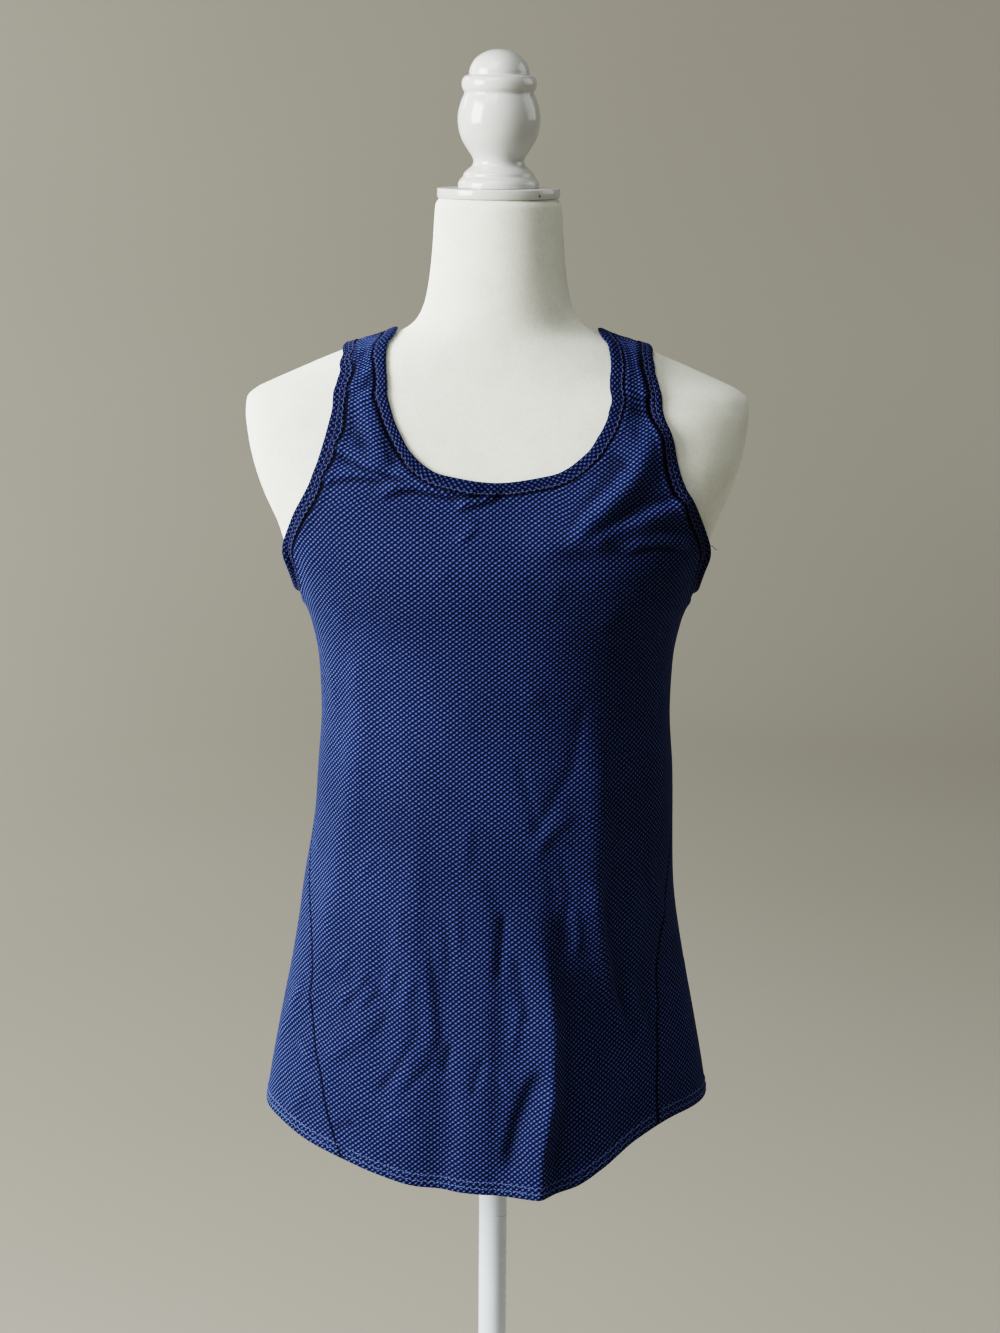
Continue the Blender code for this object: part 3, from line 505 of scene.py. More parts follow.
def evenly(line, count):
    """The line again, as count equal lengths over the cloth."""
    along = lengths_along(cloth_point(*line.T))
    return resampled(line, along, np.linspace(0, along[-1], count + 1))


class Opening:
    """A neckline or armhole of the right half: stations along its front and back edges."""

    def __init__(self, front, back, front_count, back_count, closed, leftwards):
        first, last = front[0], back[-1]
        if closed:
            before, after = back[-2], front[1]
        else:  # the mirror image goes on past the centre
            before = Place(-front[1].turn, front[1].height)
            after = Place(2 * last.turn - back[-2].turn, back[-2].height)
        whole = smooth_line([before, *front, *back[1:], after])
        split = int(np.argmin(np.abs(whole - np.array(front[-1])).sum(1)))
        edge = np.concatenate([
            evenly(whole[: split + 1], front_count),
            evenly(whole[split:], back_count)[1:],
        ])
        edge[0], edge[-1] = first, last
        self.split = front_count
        self.closed = closed
        points = cloth_point(*edge.T)
        if closed:
            around = np.concatenate([points[-2:-1], points, points[1:2]])
        else:
            mirror = np.array([-1, 1, 1])
            around = np.concatenate([points[1:2] * mirror, points, points[-2:-1] * mirror])
        tangent = around[2:] - around[:-2]
        self.inward = unit(np.cross(cloth_normal(*edge.T), tangent) * leftwards)
        self.edge = edge

    def moved(self, distance):
        """The stations, moved that far over the cloth away from the opening."""
        turn, height = walk(*self.edge.T, self.inward, distance)
        if not self.closed:
            turn[0], turn[-1] = self.edge[0, 0], self.edge[-1, 0]
        return np.stack([turn, height], 1)


def make_openings(neck_counts, armhole_counts):
    neck = Opening(NECK_FRONT, NECK_BACK, *neck_counts, False, -1)
    armhole = Opening(ARMHOLE_FRONT, ARMHOLE_BACK, *armhole_counts, True, 1)
    return neck, armhole


def seam_turn(seam, height):
    line = np.array([(place.height, place.turn) for place in seam])
    return curve_through(line, height)[..., 0]


def hem_height(turn):
    turn = (np.asarray(turn, float) + 180) % 360 - 180
    return curve_through(HEM, turn)[..., 0]


# ---- meshes ----


def add_piece(name, points, faces, material, corner_uv=None, shade=None):
    """A closed mesh of four-sided faces, from points in millimetres, that faces outwards.

    Shade is how much each point is darkened, at most 1. Below 0 it is lightened.
    """
    points = np.asarray(points, float) * MM
    a, b, c, d = (points[corner] for corner in faces.T)
    if dot(a, np.cross(b, c) + np.cross(c, d)).sum() < 0:
        faces = faces[:, ::-1]
        corner_uv = None if corner_uv is None else corner_uv[:, ::-1]
    mesh = new_mesh(name, points.tolist(), faces.tolist())
    if corner_uv is not None:
        layer = mesh.uv_layers.new(name="knit")
        layer.uv.foreach_set("vector", np.ascontiguousarray(corner_uv, np.float32).ravel())
    if shade is not None:
        layer = mesh.attributes.new("shade", "FLOAT", "POINT")
        layer.data.foreach_set("value", np.ascontiguousarray(shade, np.float32))
    return add_object(name, mesh, material)


def new_mesh(name, points, faces):
    mesh = bpy.data.meshes.new(name)
    mesh.from_pydata(points, [], faces)
    mesh.shade_smooth()
    mesh.update()
    return mesh


def link(name, data):
    thing = bpy.data.objects.new(name, data)
    bpy.context.scene.collection.objects.link(thing)
    return thing


def add_object(name, mesh, material):
    """The mesh as a piece that rides on the body."""
    thing = link(name, mesh)
    mesh.materials.append(material)
    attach(thing, "root")
    return thing


def ring_faces(rings, count, last_to_first=False):
    """Faces between rings of count points each, and if asked from the last ring to the first."""
    i, j = np.meshgrid(np.arange(rings if last_to_first else rings - 1), np.arange(count), indexing="ij")
    i2, j2 = (i + 1) % rings, (j + 1) % count
    return np.stack([i * count + j, i * count + j2, i2 * count + j2, i2 * count + j], -1)


def distance_to(points, line):
    """From every point to the nearest point of a line."""
    return np.sqrt(np.stack([((points - p) ** 2).sum(1) for p in line]).min(0))


class ClothLengths:
    """Lengths over the cloth, for laying the knit on it without stretching it."""

    STEP = 3.0  # in height; in turn it is one degree

    def __init__(self):
        self.turns = np.arange(-181.0, 182.0)
        self.heights = np.arange(590.0, 1262.0, self.STEP)
        points = cloth_point(*np.meshgrid(self.turns, self.heights, indexing="ij"))
        self.round = lengths_along(points)
        self.up = lengths_along(points.swapaxes(0, 1)).T
        level = int(np.searchsorted(self.heights, KNIT_LEVEL))
        self.up -= self.up[:, level : level + 1]

    def at(self, table, turn, height):
        x = np.clip(turn - self.turns[0], 0, len(self.turns) - 1.001)
        y = np.clip((height - self.heights[0]) / self.STEP, 0, len(self.heights) - 1.001)
        i, j = x.astype(int), y.astype(int)
        x, y = x - i, y - j
        low = table[i, j] * (1 - x) + table[i + 1, j] * x
        high = table[i, j + 1] * (1 - x) + table[i + 1, j + 1] * x
        return low * (1 - y) + high * y

    def cut(self, turn, height):
        """Where a place was on the flat cloth, in millimetres from its centre line."""
        turn = (turn + 180) % 360 - 180
        middle = np.where(np.abs(turn) < 93, 0.0, np.where(turn > 0, 180.0, -180.0))
        across = self.at(self.round, turn, height) - self.at(self.round, middle, height)
        return np.stack([across, self.at(self.up, turn, height)], 1)


# ---- the panels ----


def rows_from_hem(low, high, count):
    start = low + np.array(HEM_ROWS)
    rest = np.linspace(start[-1], high, count - len(HEM_ROWS) + 2)[1:]
    return np.concatenate([start, rest])


def half_panel(neck_line, arm_line, seam, side, is_front, arm_rows):
    """Places of half a panel: a row for each height, from its centre to its side."""
    towards_centre = -1 if is_front else 1
    middle = 0.0 if is_front else 180.0
    neck_bottom = neck_line[0] if is_front else neck_line[-1]
    neck_line = neck_line if is_front else neck_line[::-1]
    arm_line = arm_line if is_front else arm_line[::-1]
    corner = arm_line[0]
    hem_turn = seam_turn(seam, HEM[0].height)
    for _ in range(4):
        hem_turn = seam_turn(seam, hem_height(side * hem_turn))
    seam_heights = rows_from_hem(float(hem_height(side * hem_turn)), corner[1], SEAM_ROWS)
    seam_turns = seam_turn(seam, seam_heights)
    # higher up the seam is led to the armhole's corner
    seam_turns += (corner[0] - seam_turns[-1]) * ease((seam_heights - 900) / 150)
    outer = np.concatenate([np.stack([seam_turns, seam_heights], 1), arm_line[1:]])
    outer_radius = cloth_radius(side * outer[:, 0], outer[:, 1])
    on_seam = np.ones(len(outer))
    on_seam[SEAM_ROWS + 1 : -1] = 0
    shift = np.degrees(SEAM_GAP / 2 / outer_radius) * towards_centre * on_seam
    outer[:, 0] += shift
    low_rows = SEAM_ROWS + arm_rows
    bottom = float(hem_height(middle))
    centre_heights = np.concatenate([
        rows_from_hem(bottom, corner[1], SEAM_ROWS),
        np.linspace(corner[1], neck_bottom[1], arm_rows + 1)[1:],
    ])
    inner = np.concatenate([
        np.stack([np.full(low_rows + 1, middle), centre_heights], 1),
        neck_line[1:],
    ])
    inner[-1, 0] += shift[-1]
    # the last columns lie close together: at the side seam, and beside the binding
    span = np.hypot((outer[:, 0] - inner[:, 0]) * math.radians(FOLD_RADIUS), outer[:, 1] - inner[:, 1])
    below = np.arange(low_rows + len(neck_line))[:, None] <= SEAM_ROWS
    ends = 1 - np.where(below, SEAM_COLUMNS, BINDING_COLUMNS) / span[:, None]
    even = ends[:, :1] * np.linspace(0, 1, COLUMNS - 3)[:-1]
    share = np.concatenate([even, ends], 1)[:, :, None]
    grid = inner[:, None] * (1 - share) + outer[:, None] * share
    sag = hem_height(side * grid[0, :, 0]) - grid[0, :, 1]
    rows_up = (inner[:, 1] - bottom) / (neck_bottom[1] - bottom)
    grid[:, :, 1] += np.clip(1 - rows_up, 0, 1)[:, None] ** 2 * sag[None]
    return grid


def make_panel(name, right, left, is_front, low_rows, lengths, material):
    """A closed shell of cloth from the two halves, which share their centre line."""
    rows, width = right.shape[:2]
    left = left.copy()
    left[:, :, 0] = -left[:, :, 0] if is_front else 360 - left[:, :, 0]
    index = np.arange(rows * width).reshape(rows, width)
    left_index = index + rows * width
    left_index[: low_rows + 1, 0] = index[: low_rows + 1, 0]
    places = np.concatenate([right.reshape(-1, 2), left.reshape(-1, 2)])

    def quads(grid):
        return np.stack([grid[:-1, :-1], grid[:-1, 1:], grid[1:, 1:], grid[1:, :-1]], -1)

    faces = np.concatenate([
        quads(index).reshape(-1, 4)[:, :: 1 if is_front else -1],
        quads(left_index).reshape(-1, 4)[:, :: -1 if is_front else 1],
    ])
    used, faces = np.unique(faces, return_inverse=True)
    faces = faces.reshape(-1, 4)
    new = np.full(len(places), -1)
    new[used] = np.arange(len(used))
    places = places[used]
    turn, height = places.T
    middle, normal = cloth_point(turn, height), cloth_normal(turn, height)

    def line(*cells):
        return middle[new[np.concatenate(cells)]]

    both = (index, left_index)
    seams = [grid[: SEAM_ROWS + 1, -1] for grid in both] + [grid[-1] for grid in both]
    from_seam = distance_to(middle, line(*seams))
    from_arm = distance_to(middle, line(*[grid[SEAM_ROWS:, -1] for grid in both])) - TUCK
    from_neck = distance_to(middle, line(*[grid[low_rows:, 0] for grid in both])) - TUCK
    from_band = np.minimum(from_arm, from_neck)
    from_hem = height - hem_height(turn)

    free = ease((from_band + 0.3) / 0.9)
    half = CLOTH_THICKNESS / 2
    nose = np.sqrt(np.maximum(1 - (1 - np.clip(from_hem / HEM_ROLL, 0, 1)) ** 2, 0.02))
    doubled = ease((HEM_WIDTH + 0.6 - from_hem) / 0.9)
    puff = ARM_PUFF * hump(from_arm, 4.0, 1.9) * (from_arm > -1)
    puff += NECK_PUFF * hump(from_neck, 2.8, 2.0) * (from_neck > -1)
    outer = half * (0.72 + 0.28 * free) - SEAM_ROLL * hump(from_seam, 0, 1.2) + 0.15 * doubled
    inner = half * (0.72 + 0.28 * free) + HEM_FOLD * doubled
    outer_points = middle + normal * (outer * nose + puff)[:, None]
    inner_points = middle - normal * (inner * nose - puff)[:, None]

    edges = np.concatenate([faces[:, [i, (i + 1) % 4]] for i in range(4)])
    key = np.sort(edges, 1)
    _, first, count = np.unique(key, axis=0, return_index=True, return_counts=True)
    rim = edges[first[count == 1]]
    n = len(places)
    all_faces = np.concatenate([
        faces,
        faces[:, ::-1] + n,
        np.stack([rim[:, 1], rim[:, 0], rim[:, 0] + n, rim[:, 1] + n], 1),
    ])
    uv = np.tile(lengths.cut(turn, height), (2, 1))
    points = np.concatenate([outer_points, inner_points])
    # painted shade: the cloth's colour is darkened in the crevices of its side and shoulder seams, beside
    # the bindings and at the feet of creases; painted highlight: it is lightened on the creases' crests
    shade = DARKEST * hump(from_seam, 0, SEAM_SHADE_REACH)
    shade += ARM_SHADE * hump(np.maximum(from_arm, 0), 0, ARM_SHADE_REACH, 6)
    shade += NECK_SHADE * hump(np.maximum(from_neck, 0), 0, NECK_SHADE_REACH, 4)
    in_crease = hollow(turn, height)
    shade += CREASE_SHADE * np.maximum(in_crease, 0) + CREST_LIGHT * np.minimum(in_crease, 0)
    shade = np.tile(np.minimum(shade, DARKEST), 2)
    return add_piece(name, points, all_faces, material, uv[all_faces], shade)


# ---- the bindings ----


class Band:
    """The middle surface of a binding: its across places, its stations and its normals."""

    ACROSS = np.array([0, 0.8, 2.0, 3.4, 4.8, 6.0, 6.9, 8.0, 9.2, 10.5])

    def __init__(self, opening, flare, mirror_half, flip=False):
        free_part = BAND_WIDTH * (1 - BAND_FLAT_SHARE)
        drawn_in = free_part - np.sqrt(free_part**2 - flare**2)
        layers = []
        for w in self.ACROSS:
            up = max(0.0, (free_part - w) / free_part)
            line = opening.moved(free_part - (free_part - drawn_in) * up if up else w)
            lift = flare * up**1.2
            if mirror_half:
                line = np.concatenate([line, mirrored(line)[-2:0:-1]])
                lift = np.concatenate([lift, lift[-2:0:-1]])
            else:
                line, lift = line[:-1], lift[:-1]
            if flip:
                line = mirrored(line)
            normal = cloth_normal(*line.T)
            layers.append(cloth_point(*line.T) + normal * lift[:, None])
        self.middle = np.array(layers)
        along = np.roll(self.middle, -1, 1) - np.roll(self.middle, 1, 1)
        across = np.gradient(self.middle, self.ACROSS, axis=0)
        self.normal = unit(np.cross(across, along))
        if (self.normal[-1] * normal).sum() < 0:
            self.normal = -self.normal
        ring = self.middle[5]
        self.along = lengths_along(np.concatenate([ring, ring[:1]]))

    def at(self, w, off):
        """The ring of points that lies w from the free edge and off the middle surface."""
        k = int(np.clip(np.searchsorted(self.ACROSS, w, side="right") - 1, 0, len(self.ACROSS) - 2))
        t = (w - self.ACROSS[k]) / (self.ACROSS[k + 1] - self.ACROSS[k])
        middle = self.middle[k] * (1 - t) + self.middle[k + 1] * t
        normal = self.normal[k] * (1 - t) + self.normal[k + 1] * t
        return middle + normal * off


def band_section(rows):
    """Outline of a folded binding, as (from the free edge, off the middle), outer face first."""
    half = BAND_THICKNESS / 2

    def face(w):
        pressed = sum(0.5 * hump(w, row, 0.75) for row in rows)
        return half + 0.25 * hump(w, 3.0, 2.4) + 0.1 - pressed

    outer = [(10.5, 0.5), (10.25, 0.56), (10.0, 0.78), (9.8, face(9.8) - 0.15)]
    outer += [(w, face(w)) for w in (9.5, 9.0, 8.6, 8.1, 7.4, 6.7, 6.1, 5.6, 5.2, 4.6, 3.6, 2.5, 1.8)]
    outer += [(1.1, 1.14), (0.55, 0.92), (0.18, 0.56), (0, 0.2)]
    inner = [(w, -min(off, 1.15)) for w, off in reversed(outer)]
    slot = [(10.5, -0.44), (7.2, -0.42), (6.4, -0.06), (1.5, -0.05)]
    return outer + inner + slot + [(w, -off) for w, off in reversed(slot)]


def make_band(name, band, rows, material):
    section = band_section(rows)
    points = np.array([band.at(w, off) for w, off in section])
    sections, stations = points.shape[:2]
    across = np.array([w for w, _ in section + section[:1]])
    width = across[:-1]
    # painted shade: the band is drawn darker in the crevice at its seam edge and in the grooves of its
    # stitch rows
    shade = 0.9 * hump(width, BAND_WIDTH, 0.9) + sum(0.5 * hump(width, row, 0.6) for row in rows)
    shade = np.repeat(np.minimum(shade, 0.9), stations)
    around = band.along / band.along[-1] * round(band.along[-1] / KNIT_WIDTH) * KNIT_WIDTH
    i, j = np.meshgrid(np.arange(sections), np.arange(stations), indexing="ij")
    corners = ((i, j), (i, j + 1), (i + 1, j + 1), (i + 1, j))
    uv = np.stack([np.stack([around[q], across[p]], -1) for p, q in corners], -2)
    faces = ring_faces(sections, stations, last_to_first=True)
    return add_piece(
        name, points.reshape(-1, 3), faces.reshape(-1, 4), material, uv.reshape(-1, 4, 2),
        shade,
    )


# ---- stitching ----


def stitch_row(path, normals, closed, length=STITCH, swing=0.5, radius=0.3, lift=0.1):
    """A wavy line of stitches that lie on a path: closed six-sided capsules, end to end."""
    if closed:
        path, normals = np.concatenate([path, path[:1]]), np.concatenate([normals, normals[:1]])
    along = lengths_along(path)
    count = 2 * round(along[-1] / length / 2)
    at = np.linspace(0, along[-1], count + 1)
    knot = resampled(path, along, at)
    up = unit(resampled(normals, along, at))
    side = unit(np.cross(up, np.gradient(knot, axis=0)))
    swings = swing * (1 - 2 * (np.arange(count + 1) % 2))
    knot = knot + side * swings[:, None]
    share = np.array([0.03, 0.14, 0.5, 0.86, 0.97])[None, :, None]
    size = radius * np.array([0.4, 0.9, 1.0, 0.9, 0.4])
    rise = radius * np.array([-0.7, 0.0, 0.4, 0.0, -0.7]) + lift
    start, end, up = knot[:-1, None], knot[1:, None], up[:-1, None]
    centre = start + (end - start) * share + up * rise[None, :, None]
    ahead = unit(end - start)
    aside = unit(np.cross(up, ahead))
    angle = np.arange(6) * math.pi / 3
    ring = (
        aside[:, :, None] * np.cos(angle)[None, None, :, None]
        + np.cross(ahead, aside)[:, :, None] * np.sin(angle)[None, None, :, None]
    )
    points = centre[:, :, None] + ring * size[None, :, None, None]
    base = (np.arange(count) * 30)[:, None, None]
    ends = np.array([[3, 2, 1, 0], [5, 4, 3, 0], [24, 25, 26, 27], [24, 27, 28, 29]])
    faces = np.concatenate([ring_faces(5, 6).reshape(-1, 4), ends])[None] + base
    return points.reshape(-1, 3), faces.reshape(-1, 4)


def make_stitches(name, rows, material):
    points, faces, count = [], [], 0
    for row_points, row_faces in rows:
        points.append(row_points)
        faces.append(row_faces + count)
        count += len(row_points)
    return add_piece(name, np.concatenate(points), np.concatenate(faces), material)


def band_stitches(name, band, rows, material):
    face = np.array(sorted((w, off) for w, off in band_section(rows) if off > 0.7)).T

    def row(w):
        height = np.interp(w, *face)
        path = band.at(w, height)
        return stitch_row(path, band.at(w, height + 1) - path, True)

    return make_stitches(name, [row(w) for w in rows], material)


def loose_thread(name, band, material):
    """The short end of sewing thread that sticks out under the arm."""
    edge = band.at(0.3, 0.8)
    in_front = edge[edge[:, 1] <= 0]
    start = in_front[np.argmin(np.abs(in_front[:, 2] - LOOSE_THREAD_HEIGHT))]
    path = start + np.array([(0, 0, 0), (2.0, -0.4, -0.8), (3.6, -0.6, -2.8), (5.2, -0.7, -3.4)])
    forward = np.tile((0.0, -1.0, 0.0), (len(path), 1))
    row = stitch_row(path, forward, False, length=1.2, swing=0.1, radius=0.28, lift=0.0)
    return make_stitches(name, [row], material)


def hem_stitches(name, first_turn, last_turn, material):
    rows = []
    for up in HEM_STITCH_ROWS:
        turn = np.linspace(first_turn, last_turn, 400)
        height = hem_height(turn) + up
        normal = cloth_normal(turn, height)
        path = cloth_point(turn, height) + normal * (CLOTH_THICKNESS / 2 + 0.15)
        rows.append(stitch_row(path, normal, False, swing=0.75, radius=0.33))
    return make_stitches(name, rows, material)


# ---- the dress form and its stand ----


def turned(name, profile, steps, material):
    """A closed solid from rings, listed from one end of the axis to the other."""
    turns = np.arange(steps) * 360 / steps
    rings = [at_radius(np.full(steps, ring.radius), turns, ring.height) for ring in profile]
    return lofted(name, rings, material)


def lofted(name, rings, material):
    """A closed solid through rings of points, with a flat fan at each end."""
    count = len(rings[0])
    points = np.concatenate([*rings, [rings[0].mean(0), rings[-1].mean(0)]])
    j = np.arange(count)
    last = (len(rings) - 1) * count
    low = np.stack([np.full(count, len(points) - 2), (j + 1) % count, j], 1)
    high = np.stack([np.full(count, len(points) - 1), last + j, last + (j + 1) % count], 1)
    sides = ring_faces(len(rings), count).reshape(-1, 4)
    faces = [*sides.tolist(), *low.tolist(), *high.tolist()]
    mesh = new_mesh(name, (points * MM).tolist(), faces)
    mesh.set_sharp_from_angle(angle=math.radians(50))
    return add_object(name, mesh, material)


def make_form(material):
    turns = np.arange(BODY_STEPS) * 360 / BODY_STEPS
    bore = np.full(BODY_STEPS, POLE_RADIUS + PIECE_GAP)
    heights = np.concatenate([
        np.arange(712, 1185, 6.0), np.arange(1185, 1262, 2.5), np.arange(1265, 1340, 6.0),
        [1340, 1343.5, 1346, 1347.8, 1349, NECK_TOP],
    ])
    rings = [at_radius(bore, turns, FORM_BOTTOM + POLE_SOCKET_DEPTH), at_radius(bore, turns, FORM_BOTTOM)]
    for inset, section_height, height in ((8, 0, 0), (3, 2, 2), (0, 6, 8)):
        radius = section_radius(FORM, turns, FORM_BOTTOM + section_height) - inset
        rings.append(at_radius(radius, turns, FORM_BOTTOM + height))
    rings += [at_radius(section_radius(FORM, turns, h), turns, h) for h in heights]
    return lofted("form_cover", rings, material)


def smooth_profile(rings, per_span):
    return listed(Ring, *smooth_line([rings[0], *rings, rings[-1]], per_span))


def make_stand(gloss, paint, dark):
    cap_bottom = NECK_TOP + PIECE_GAP
    cap_top = cap_bottom + CAP_THICKNESS
    cap = listed(
        Ring, (cap_bottom, CAP_RADIUS - 0.9), (cap_bottom + 0.2, CAP_RADIUS - 0.3),
        (cap_bottom + 0.8, CAP_RADIUS), (cap_top - 0.9, CAP_RADIUS), (cap_top - 0.3, CAP_RADIUS - 0.25),
        (cap_top, CAP_RADIUS - 0.9), (cap_top, 30.0),
    )
    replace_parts(turned("cap_disc", cap, TURNED_STEPS, gloss), "neck_cap")
    # painted shade: a small near-black disc, sunk into the cap's rim, stands for the shade inside the
    # cap's pin hole
    hole_shade = turned("cap_pin_hole_shade", listed(Ring, (-1.2, 0.95), (0.1, 0.95), (0.12, 0.5)), 16, dark)
    place = Vector(at_radius(CAP_RADIUS, PIN_HOLE_TURN, cap_bottom + PIN_HOLE_HEIGHT)) * MM
    outwards = Vector((place.x, place.y, 0)).to_track_quat("Z", "Y")
    hole_shade.matrix_world = Matrix.Translation(place) @ outwards.to_matrix().to_4x4()
    foot = cap_top + PIECE_GAP
    tip = [Ring(foot + ring.height, max(ring.radius, 0.3)) for ring in FINIAL]
    groove = POLE_RADIUS - 0.45
    pole = listed(
        Ring, (BASE_FLOOR + PIECE_GAP, POLE_RADIUS), (TUBE_JOINT - 0.7, POLE_RADIUS),
        (TUBE_JOINT - 0.4, groove), (TUBE_JOINT + 0.4, groove), (TUBE_JOINT + 0.7, POLE_RADIUS),
        (FORM_BOTTOM + POLE_SOCKET_DEPTH - PIECE_GAP, POLE_RADIUS),
    )
    bore = POLE_RADIUS + PIECE_GAP
    hub = BASE[0]
    base = listed(
        Ring, (BASE_FLOOR, bore * 0.3), (BASE_FLOOR, bore), (hub.height - 0.6, bore),
        (hub.height, bore + 0.6), (hub.height, hub.radius - 0.6),
    )
    base += smooth_profile([Ring(hub.height - 0.6, hub.radius), *BASE[1:]], 3)
    for name, profile, steps, material, slot, node in (
        ("finial_turning", smooth_profile(tip, 4), TURNED_STEPS, gloss, "gloss_white", "finial"),
        ("pole_tube", pole, TURNED_STEPS, paint, "painted_tube", "pole"),
        ("base_plate", base, 128, paint, "painted_tube", "base"),
    ):
        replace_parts(turned(name, profile, steps, material), node)


# ---- materials ----


class Surface:
    """A Principled material and short ways to add nodes in front of it."""

    def __init__(self, name, **settings):
        self.material = bpy.data.materials.new(name)
        self.material.use_nodes = True
        self.tree = self.material.node_tree
        self.shader = self.tree.nodes["Principled BSDF"]
        for socket, value in settings.items():
            self.shader.inputs[socket.replace("_", " ")].default_value = value
        self.place = self.node("TexCoord").node.outputs["Object"]

    def node(self, kind, *inputs, **settings):
        made = self.tree.nodes.new("ShaderNode" + kind)
        for name, value in settings.items():
            setattr(made, name, value)
        for socket, value in zip(made.inputs, inputs):
            self.feed(socket, value)
        return made.outputs[0]

    def feed(self, socket, value):
        if isinstance(value, bpy.types.NodeSocket):
            self.tree.links.new(value, socket)
        elif value is not None:
            socket.default_value = value

    def math(self, operation, *values):
        return self.node("Math", *values, operation=operation)

    def noise(self, scale, detail=2.0):
        """Noise over the object, so many cells to the metre."""
        made = self.node("TexNoise")
        inputs = made.node.inputs
        self.feed(inputs["Vector"], self.place)
        inputs["Scale"].default_value = scale
        inputs["Detail"].default_value = detail
        return made

    def ramp(self, value, *stops):
        made = self.node("ValToRGB", value)
        elements = made.node.color_ramp.elements
        while len(elements) < len(stops):
            elements.new(0.5)
        for element, (position, colour) in zip(elements, stops):
            element.position = position
            element.color = (*colour, 1)
        return made

    def varied(self, scale, detail, low, high, from_low=0.3, from_high=0.7):
        """Noise that runs from low to high."""
        return self.node("MapRange", self.noise(scale, detail), from_low, from_high, low, high)

    def tinted(self, colour, amount):
        """A colour times a number."""
        made = self.node("VectorMath", operation="SCALE")
        self.feed(made.node.inputs[0], colour)
        self.feed(made.node.inputs["Scale"], amount)
        return made

    def bump(self, height, distance, strength=1.0):
        made = self.node("Bump")
        self.feed(made.node.inputs["Height"], height)
        made.node.inputs["Distance"].default_value = distance
        made.node.inputs["Strength"].default_value = strength
        self.feed(self.shader.inputs["Normal"], made)

    def colour(self, value):
        self.feed(self.shader.inputs["Base Color"], value)
        return self.material


def knit_material(name, dark, ground, dot_colour, lean=0.3):
    """Honeycomb knit: staggered raised dots, joined by strands round small dark cells."""
    surface = Surface(
        name, Roughness=0.75, Specular_IOR_Level=0.03, Diffuse_Roughness=0.8, Sheen_Weight=0.01,
        Sheen_Roughness=0.45, Sheen_Tint=(0.2, 0.4, 1.0, 1),
    )
    split = surface.node("SeparateXYZ", surface.node("UVMap", uv_map="knit"))
    u, v = split.node.outputs["X"], split.node.outputs["Y"]
    waver = surface.varied(60.0, 1.0, -0.8, 0.8)
    a = surface.math("MULTIPLY_ADD", u, 2 * math.pi / KNIT_WIDTH, waver)
    b = surface.math("MULTIPLY", v, 2 * math.pi / KNIT_HEIGHT)
    rising = surface.math("COSINE", surface.math("SUBTRACT", a, b))
    falling = surface.math("COSINE", surface.math("ADD", a, b))
    falling = surface.math("MULTIPLY", falling, (1 - lean) / 4)
    strands = surface.math("MULTIPLY_ADD", rising, (1 + lean) / 4, falling)
    height = surface.math("ADD", strands, 0.5)
    cloud = surface.varied(14.0, 3.0, 0.88, 1.12)
    fuzzy = surface.math("ADD", height, surface.varied(900.0, 2.0, -0.07, 0.07))
    colour = surface.ramp(fuzzy, (0.16, dark), (0.43, ground), (0.67, ground), (0.92, dot_colour))
    surface.bump(height, 0.0006, 0.7)
    # painted shade: the point attribute shade darkens the colour in seams, beside the bindings and in
    # creases, and below 0 lightens creases' crests as a painted highlight; cloud is tone that differs at
    # random
    shade = surface.node("Attribute", attribute_name="shade").node.outputs["Fac"]
    tone_and_painted_shade = surface.math("MULTIPLY", cloud, surface.math("SUBTRACT", 1.0, shade))
    return surface.colour(surface.tinted(colour, tone_and_painted_shade))


def thread_material(name, colour):
    surface = Surface(name, Roughness=0.6, Specular_IOR_Level=0.1)
    surface.bump(surface.noise(2600.0, 1.0), 0.0001, 0.6)
    base = surface.node("RGB")
    base.default_value = (*colour, 1)
    return surface.colour(surface.tinted(base, surface.varied(500.0, 2.0, 0.75, 1.2)))


def jersey_material():
    surface = Surface("jersey_cover", Roughness=0.92, Specular_IOR_Level=0.15, Diffuse_Roughness=0.6)
    colour = surface.ramp(surface.noise(9.0, 3.0), (0.3, (0.78, 0.79, 0.69)), (0.7, (0.83, 0.845, 0.74)))
    soil = surface.varied(42.0, 4.0, 1.012, 0.94, 0.45, 0.72)
    grain = surface.varied(380.0, 2.0, 0.965, 1.035, 0.35, 0.65)
    surface.bump(surface.noise(1100.0), 0.0003, 0.6)
    return surface.colour(surface.tinted(colour, surface.math("MULTIPLY", soil, grain)))


def gloss_material(name, low, high, roughness):
    surface = Surface(
        name, Roughness=roughness, Specular_IOR_Level=0.5, Coat_Weight=0.4, Coat_Roughness=0.06
    )
    worn = surface.varied(160.0, 3.0, roughness * 0.8, roughness * 1.5, 0.35, 0.75)
    surface.feed(surface.shader.inputs["Roughness"], worn)
    surface.bump(surface.noise(120.0, 1.0), 0.0002, 0.12)
    return surface.colour(surface.ramp(surface.noise(22.0, 3.0), (0.3, low), (0.7, high)))


# painted shade: the near-black colour of the disc that stands for the shade inside the cap's pin hole
def pin_hole_shade_material():
    surface = Surface("pin_shadow", Roughness=0.6, Metallic=0.4)
    low, high = (0.02, 0.018, 0.015), (0.06, 0.05, 0.04)
    return surface.colour(surface.ramp(surface.noise(800.0), (0.3, low), (0.7, high)))


def stage_material():
    surface = Surface("studio_floor", Roughness=0.95, Specular_IOR_Level=0.1)
    low, high = (0.325, 0.308, 0.256), (0.348, 0.331, 0.276)
    return surface.colour(surface.ramp(surface.noise(0.6), (0.3, low), (0.7, high)))


# ---- stage, light and camera ----


